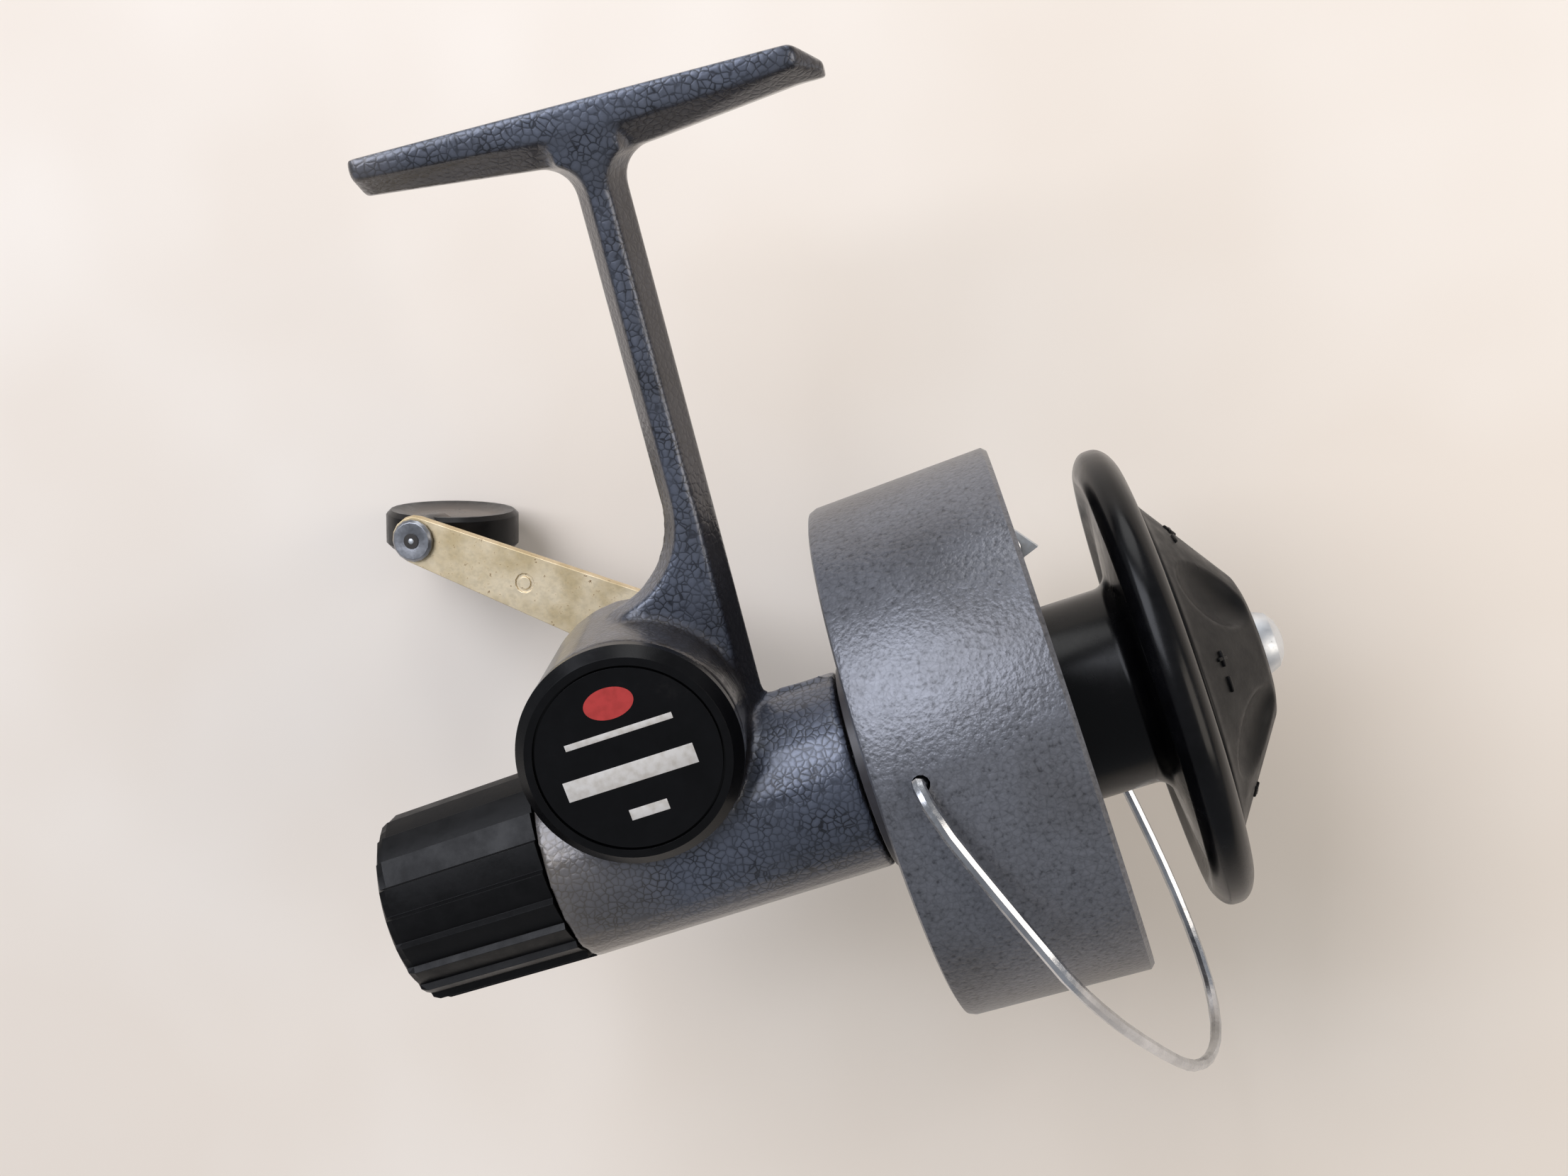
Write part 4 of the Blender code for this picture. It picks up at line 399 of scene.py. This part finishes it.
def turned(corners, cut, longest=1.0):
    """Finely turned solid about X from the corners of its half section, each of them rounded."""
    spots = [Vector((x, 0.0, r)) for x, r in corners]
    line = []
    for before, corner, after in zip(spots[-1:] + spots, spots, spots[1:] + spots[:1]):
        start = corner.lerp(before, min(cut / (before - corner).length, 0.45))
        end = corner.lerp(after, min(cut / (after - corner).length, 0.45))
        line += [start.lerp(corner, k / 4).lerp(corner.lerp(end, k / 4), k / 4) for k in range(5)]
    shape = bmesh.new()
    verts = []
    for spot, after in zip(line, line[1:] + line[:1]):
        parts = ceil((after - spot).length / longest)
        verts += [shape.verts.new(spot.lerp(after, k / parts)) for k in range(parts)]
    edges = [shape.edges.new(pair) for pair in zip(verts, verts[1:] + verts[:1])]
    bmesh.ops.spin(shape, geom=verts + edges, cent=(0, 0, 0), axis=(1, 0, 0), angle=2 * pi,
                   steps=TURNED_STEPS, use_merge=True)
    bmesh.ops.recalc_face_normals(shape, faces=shape.faces)
    return shape


def pressed(spot, middle, along, out):
    """How far a point of the cone sinks where the dimple at its middle is pressed in, with a soft rim."""
    away = spot - middle
    height = away.dot(out)
    inside = 1.0 - (away.y / DIMPLE_WIDTH) ** 2 - (away.dot(along) / DIMPLE_LENGTH) ** 2
    if inside <= 0.0 or height < -DIMPLE_REACH:
        return 0.0
    floor = DIMPLE_LIFT - DIMPLE_DEPTH * sqrt(inside)
    soft = max(DIMPLE_RIM - abs(height - floor), 0.0) / DIMPLE_RIM
    return height - min(height, floor) + DIMPLE_RIM * soft * soft / 4


def drag_knob(finish):
    """Finely turned drag knob, with finger dimples pressed into its cone and plain raised signs between."""
    along = (CONE_END - CONE_START).normalized()
    out = Vector((-along.z, 0.0, along.x))
    shape = turned(KNOB, KNOB_ROUNDING, KNOB_RUN)
    middle = (CONE_START + CONE_END) / 2
    for k in range(DIMPLES):
        turn = Matrix.Rotation(FIRST_DIMPLE + 2 * pi * k / DIMPLES, 3, "X")
        back = turn.inverted()
        for vert in shape.verts:
            vert.co -= turn @ out * pressed(back @ vert.co, middle, along, out)
    shape.transform(REEL)
    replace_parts(place_piece("drag_knob_dressed", shape, "drag", finish), "drag_knob")

    signs = bmesh.new()
    seat = Matrix((out.cross(along), along, out)).transposed().to_4x4()
    seat.translation = CONE_START + along * SIGN_PLACE
    for k in range(DIMPLES):
        between = FIRST_DIMPLE + 2 * pi * (k + 0.5) / DIMPLES
        plus = REEL @ Matrix.Rotation(between - SIGN_TURN, 4, "X") @ seat
        minus = REEL @ Matrix.Rotation(between + SIGN_TURN, 4, "X") @ seat
        raised_bar(signs, plus, SIGN, SIGN / 4, SIGN_HEIGHT)
        raised_bar(signs, plus, SIGN / 4, SIGN, CROSS_HEIGHT)
        raised_bar(signs, minus, SIGN, SIGN / 4, SIGN_HEIGHT)
    place_piece("drag_signs", signs, "drag", finish)


def rivet_hollow(dark, bright):
    """Dark disc painted as the shade of the hollow struck in the rivet's head, with the bright end of the pin
    in its middle.
    """
    turn = RIVET_AXIS.to_track_quat("Z", "Y").to_matrix().to_4x4()
    turn.translation = RIVET - RIVET_AXIS * RIVET_RISE
    hollow = bmesh.new()
    bmesh.ops.create_cone(hollow, cap_ends=True, segments=32, radius1=HOLLOW_RADIUS,
                          radius2=HOLLOW_RADIUS, depth=HOLLOW_DEPTH, matrix=turn)
    place_piece("rivet_hollow", hollow, "drive", dark)
    end = bmesh.new()
    bmesh.ops.create_uvsphere(end, u_segments=24, v_segments=12, radius=PIN_END,
                              matrix=turn @ Matrix.Diagonal((1.0, 1.0, 0.4, 1.0)))
    place_piece("pin_end", end, "drive", bright)


def badge_print(red, pale):
    """Plain oval and plain bars printed on the round badge."""
    flat = Matrix.Rotation(pi / 2, 4, "X")
    oval = bmesh.new()
    place = REEL @ Matrix.Translation(GEAR_CENTRE + OVAL_AT) @ flat
    bmesh.ops.create_cone(oval, cap_ends=True, segments=48, radius1=1.0, radius2=1.0, depth=1.0,
                          matrix=place @ Matrix.Diagonal(OVAL_SIZE))
    place_piece("badge_oval", oval, "frame", red)
    bars = bmesh.new()
    for dx, dz, length, width in BARS:
        place = REEL @ Matrix.Translation(GEAR_CENTRE + Vector((dx, BADGE_FACE, dz))) @ flat
        raised_bar(bars, place, length, width, PRINT)
    place_piece("badge_bars", bars, "frame", pale)


def lay_table(reach):
    """Pale table just past the reel's farthest point; from behind, it lets the eye through."""
    finish, tree, shader, where = new_finish("pale_table")
    grain = add(tree, "ShaderNodeTexNoise", {"Vector": where, "Scale": per_mm(60.0), "Detail": 2.0})
    colour = add(tree, "ShaderNodeValToRGB", {"Fac": grain}, [(0.35, "#eadfd2"), (0.65, "#f0e7dc")])
    tree.links.new(colour, shader.inputs["Base Color"])
    shader.inputs["Roughness"].default_value = 0.6
    clear = add(tree, "ShaderNodeBsdfTransparent")
    side = add(tree, "ShaderNodeNewGeometry", out="Backfacing")
    both = add(tree, "ShaderNodeMixShader", {0: side, 1: shader.outputs["BSDF"], 2: clear})
    tree.links.new(both, tree.nodes["Material Output"].inputs["Surface"])
    away = TABLE_AWAY.normalized()
    depth = max(away.dot(corner) for corner in reach)
    shape = bmesh.new()
    turn = away.to_track_quat("-Z", "Y").to_matrix().to_4x4()
    turn.translation = away * (depth + TABLE_GAP)
    bmesh.ops.create_grid(shape, x_segments=1, y_segments=1, size=TABLE_HALF, matrix=turn)
    mesh = bpy.data.meshes.new("table")
    shape.to_mesh(mesh)
    shape.free()
    mesh.materials.append(finish)
    table = bpy.data.objects.new("table", mesh)
    bpy.context.scene.collection.objects.link(table)


def soft_box(name, place, aim, size, power, code):
    """Square studio lamp aimed at a point."""
    lamp = bpy.data.lights.new(name, "AREA")
    lamp.size = size
    lamp.energy = power
    lamp.color = linear(code)[:3]
    holder = bpy.data.objects.new(name, lamp)
    holder.location = place
    holder.rotation_euler = (Vector(aim) - Vector(place)).to_track_quat("-Z", "Y").to_euler()
    bpy.context.scene.collection.objects.link(holder)


def light_and_camera():
    """Plain soft light, and the camera at the photograph's viewing angle."""
    scene = bpy.context.scene
    scene.view_settings.view_transform = "Standard"
    world = bpy.data.worlds.new("studio")
    world.use_nodes = True
    world.node_tree.nodes["Background"].inputs["Color"].default_value = linear("#dfe3ea")
    world.node_tree.nodes["Background"].inputs["Strength"].default_value = 0.40
    scene.world = world
    middle = REEL @ Vector((0.0, 0.0, 0.02))
    soft_box("window", REEL @ Vector((-0.36, -0.60, 0.68)), middle, 0.70, 7.6, "#f2f5ff")
    soft_box("fill", REEL @ Vector((0.45, -0.40, -0.05)), middle, 0.40, 1.6, "#fff4e6")
    soft_box("top", REEL @ Vector((0.12, -0.05, 0.60)), middle, 0.30, 0.8, "#ffffff")

    camera = bpy.data.cameras.new("camera")
    camera.sensor_width = 36.0
    camera.lens = CAMERA_LENS
    camera.clip_start = 0.01
    right = CAMERA_RIGHT.normalized()
    up = (-CAMERA_DOWN - right * right.dot(-CAMERA_DOWN)).normalized()
    pose = Matrix((right, up, right.cross(up))).transposed().to_4x4()
    pose.translation = CAMERA_AT
    holder = bpy.data.objects.new("camera", camera)
    holder.matrix_world = REEL @ pose
    scene.collection.objects.link(holder)
    scene.camera = holder


def main():
    """Dresses every node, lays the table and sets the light."""
    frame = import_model()
    casting = hammered_casting()
    drum = hammered_drum()
    gloss = black_moulding("black_gloss_moulding", 0.22, 6.0, 0.03)
    satin = black_moulding("black_satin_moulding", 0.40, 4.0, 0.10)
    badge = black_moulding("black_badge_lacquer", 0.12, 8.0, 0.02)
    paddle = black_moulding("dusty_black_moulding", 0.30, 3.0, 0.05, PADDLE_CENTRE)
    chrome = worn_plate("bright_nickel_plate", "#d8dade", "#b4b6ba", "#6a5a48", 0.16, 0.72)
    plate = worn_plate("worn_nickel_plate", "#efdfc0", "#d2bf98", "#7a5a38", 0.44, 0.62)
    rivet = worn_plate("grey_rivet_steel", "#a9abb0", "#85878c", "#55504a", 0.30, 0.66)
    zinc = worn_plate("dull_zinc_plate", "#e2e5e8", "#c9cdd2", "#8d8a84", 0.45, 0.70)
    bronze = worn_plate("machined_bronze", "#c79a5a", "#a67c42", "#5e4526", 0.30, 0.70)
    fibre = flat_coat("red_fibre_washer", "#6a3626")

    cast_body(frame, casting)
    dress(frame, "rotor_drum", "rotor", drum, 0.0002, REEL)
    dress(frame, "side_cover", "frame", gloss, 0.0003, COVER_AXIS)
    dress(frame, "cover_badge", "frame", badge, 0.0001, COVER_AXIS)
    # The collar's dull grey is darkened as painted shade, where it lies between the tube and the drum.
    dress(frame, "front_collar", "frame", flat_coat("dull_grey_with_painted_shade", "#3a383c", 0.35), 0.00015, REEL)
    dress(frame, "rear_knob", "selector", satin, 0.00015, crease=12)
    spool = turned(SPOOL, SPOOL_ROUNDING)
    spool.transform(REEL)
    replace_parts(place_piece("spool_dressed", spool, "spool_set", gloss), "spool")
    drag_knob(satin)
    dress(frame, "release_button", "button", zinc, 0.0002, REEL)
    dress(frame, "crank_arm", "drive", plate, 0.0001, crease=10)
    dress(frame, "handle_pin", "drive", rivet)
    dress(frame, "handle_shaft", "drive", rivet)
    dress(frame, "handle_nut", "drive", rivet)
    dress(frame, "handle_knob", "grip", paddle, 0.0003)
    dress(frame, "bail_wire", "bail", chrome, 0)
    # Painted reflection: the plated bail arm gets a pale, dull coat that shows light where it lies in the
    # drum's shade.
    dress(frame, "bail_arm", "bail", flat_coat("pale_coat_painted_reflection", "#c4c8cc", 0.45))
    dress(frame, "line_roller", "roller", chrome, 0.0001)
    dress(frame, "bail_pivot_screw", "rotor", chrome)
    dress(frame, "bail_spacer", "rotor", zinc)
    # The dark disc in the rivet's head is painted shade of its hollow.
    rivet_hollow(flat_coat("hollow_painted_shade", "#3a3735"), zinc)
    badge_print(flat_coat("red_ink", "#b53a38"), flat_coat("pale_ink", "#cfccc8"))

    inner = {"drive_gear": bronze, "shaft_bush": bronze, "rotor_nut": bronze,
             "spool_washer": fibre, "drag_washer": fibre}
    for name, node in frame["nodes"].items():
        node.data.materials.clear()
        node.data.materials.append(inner.get(name, chrome))

    corners = [Vector(v.co) for node in frame["nodes"].values() for v in node.data.vertices]
    lay_table(corners)
    light_and_camera()


main()
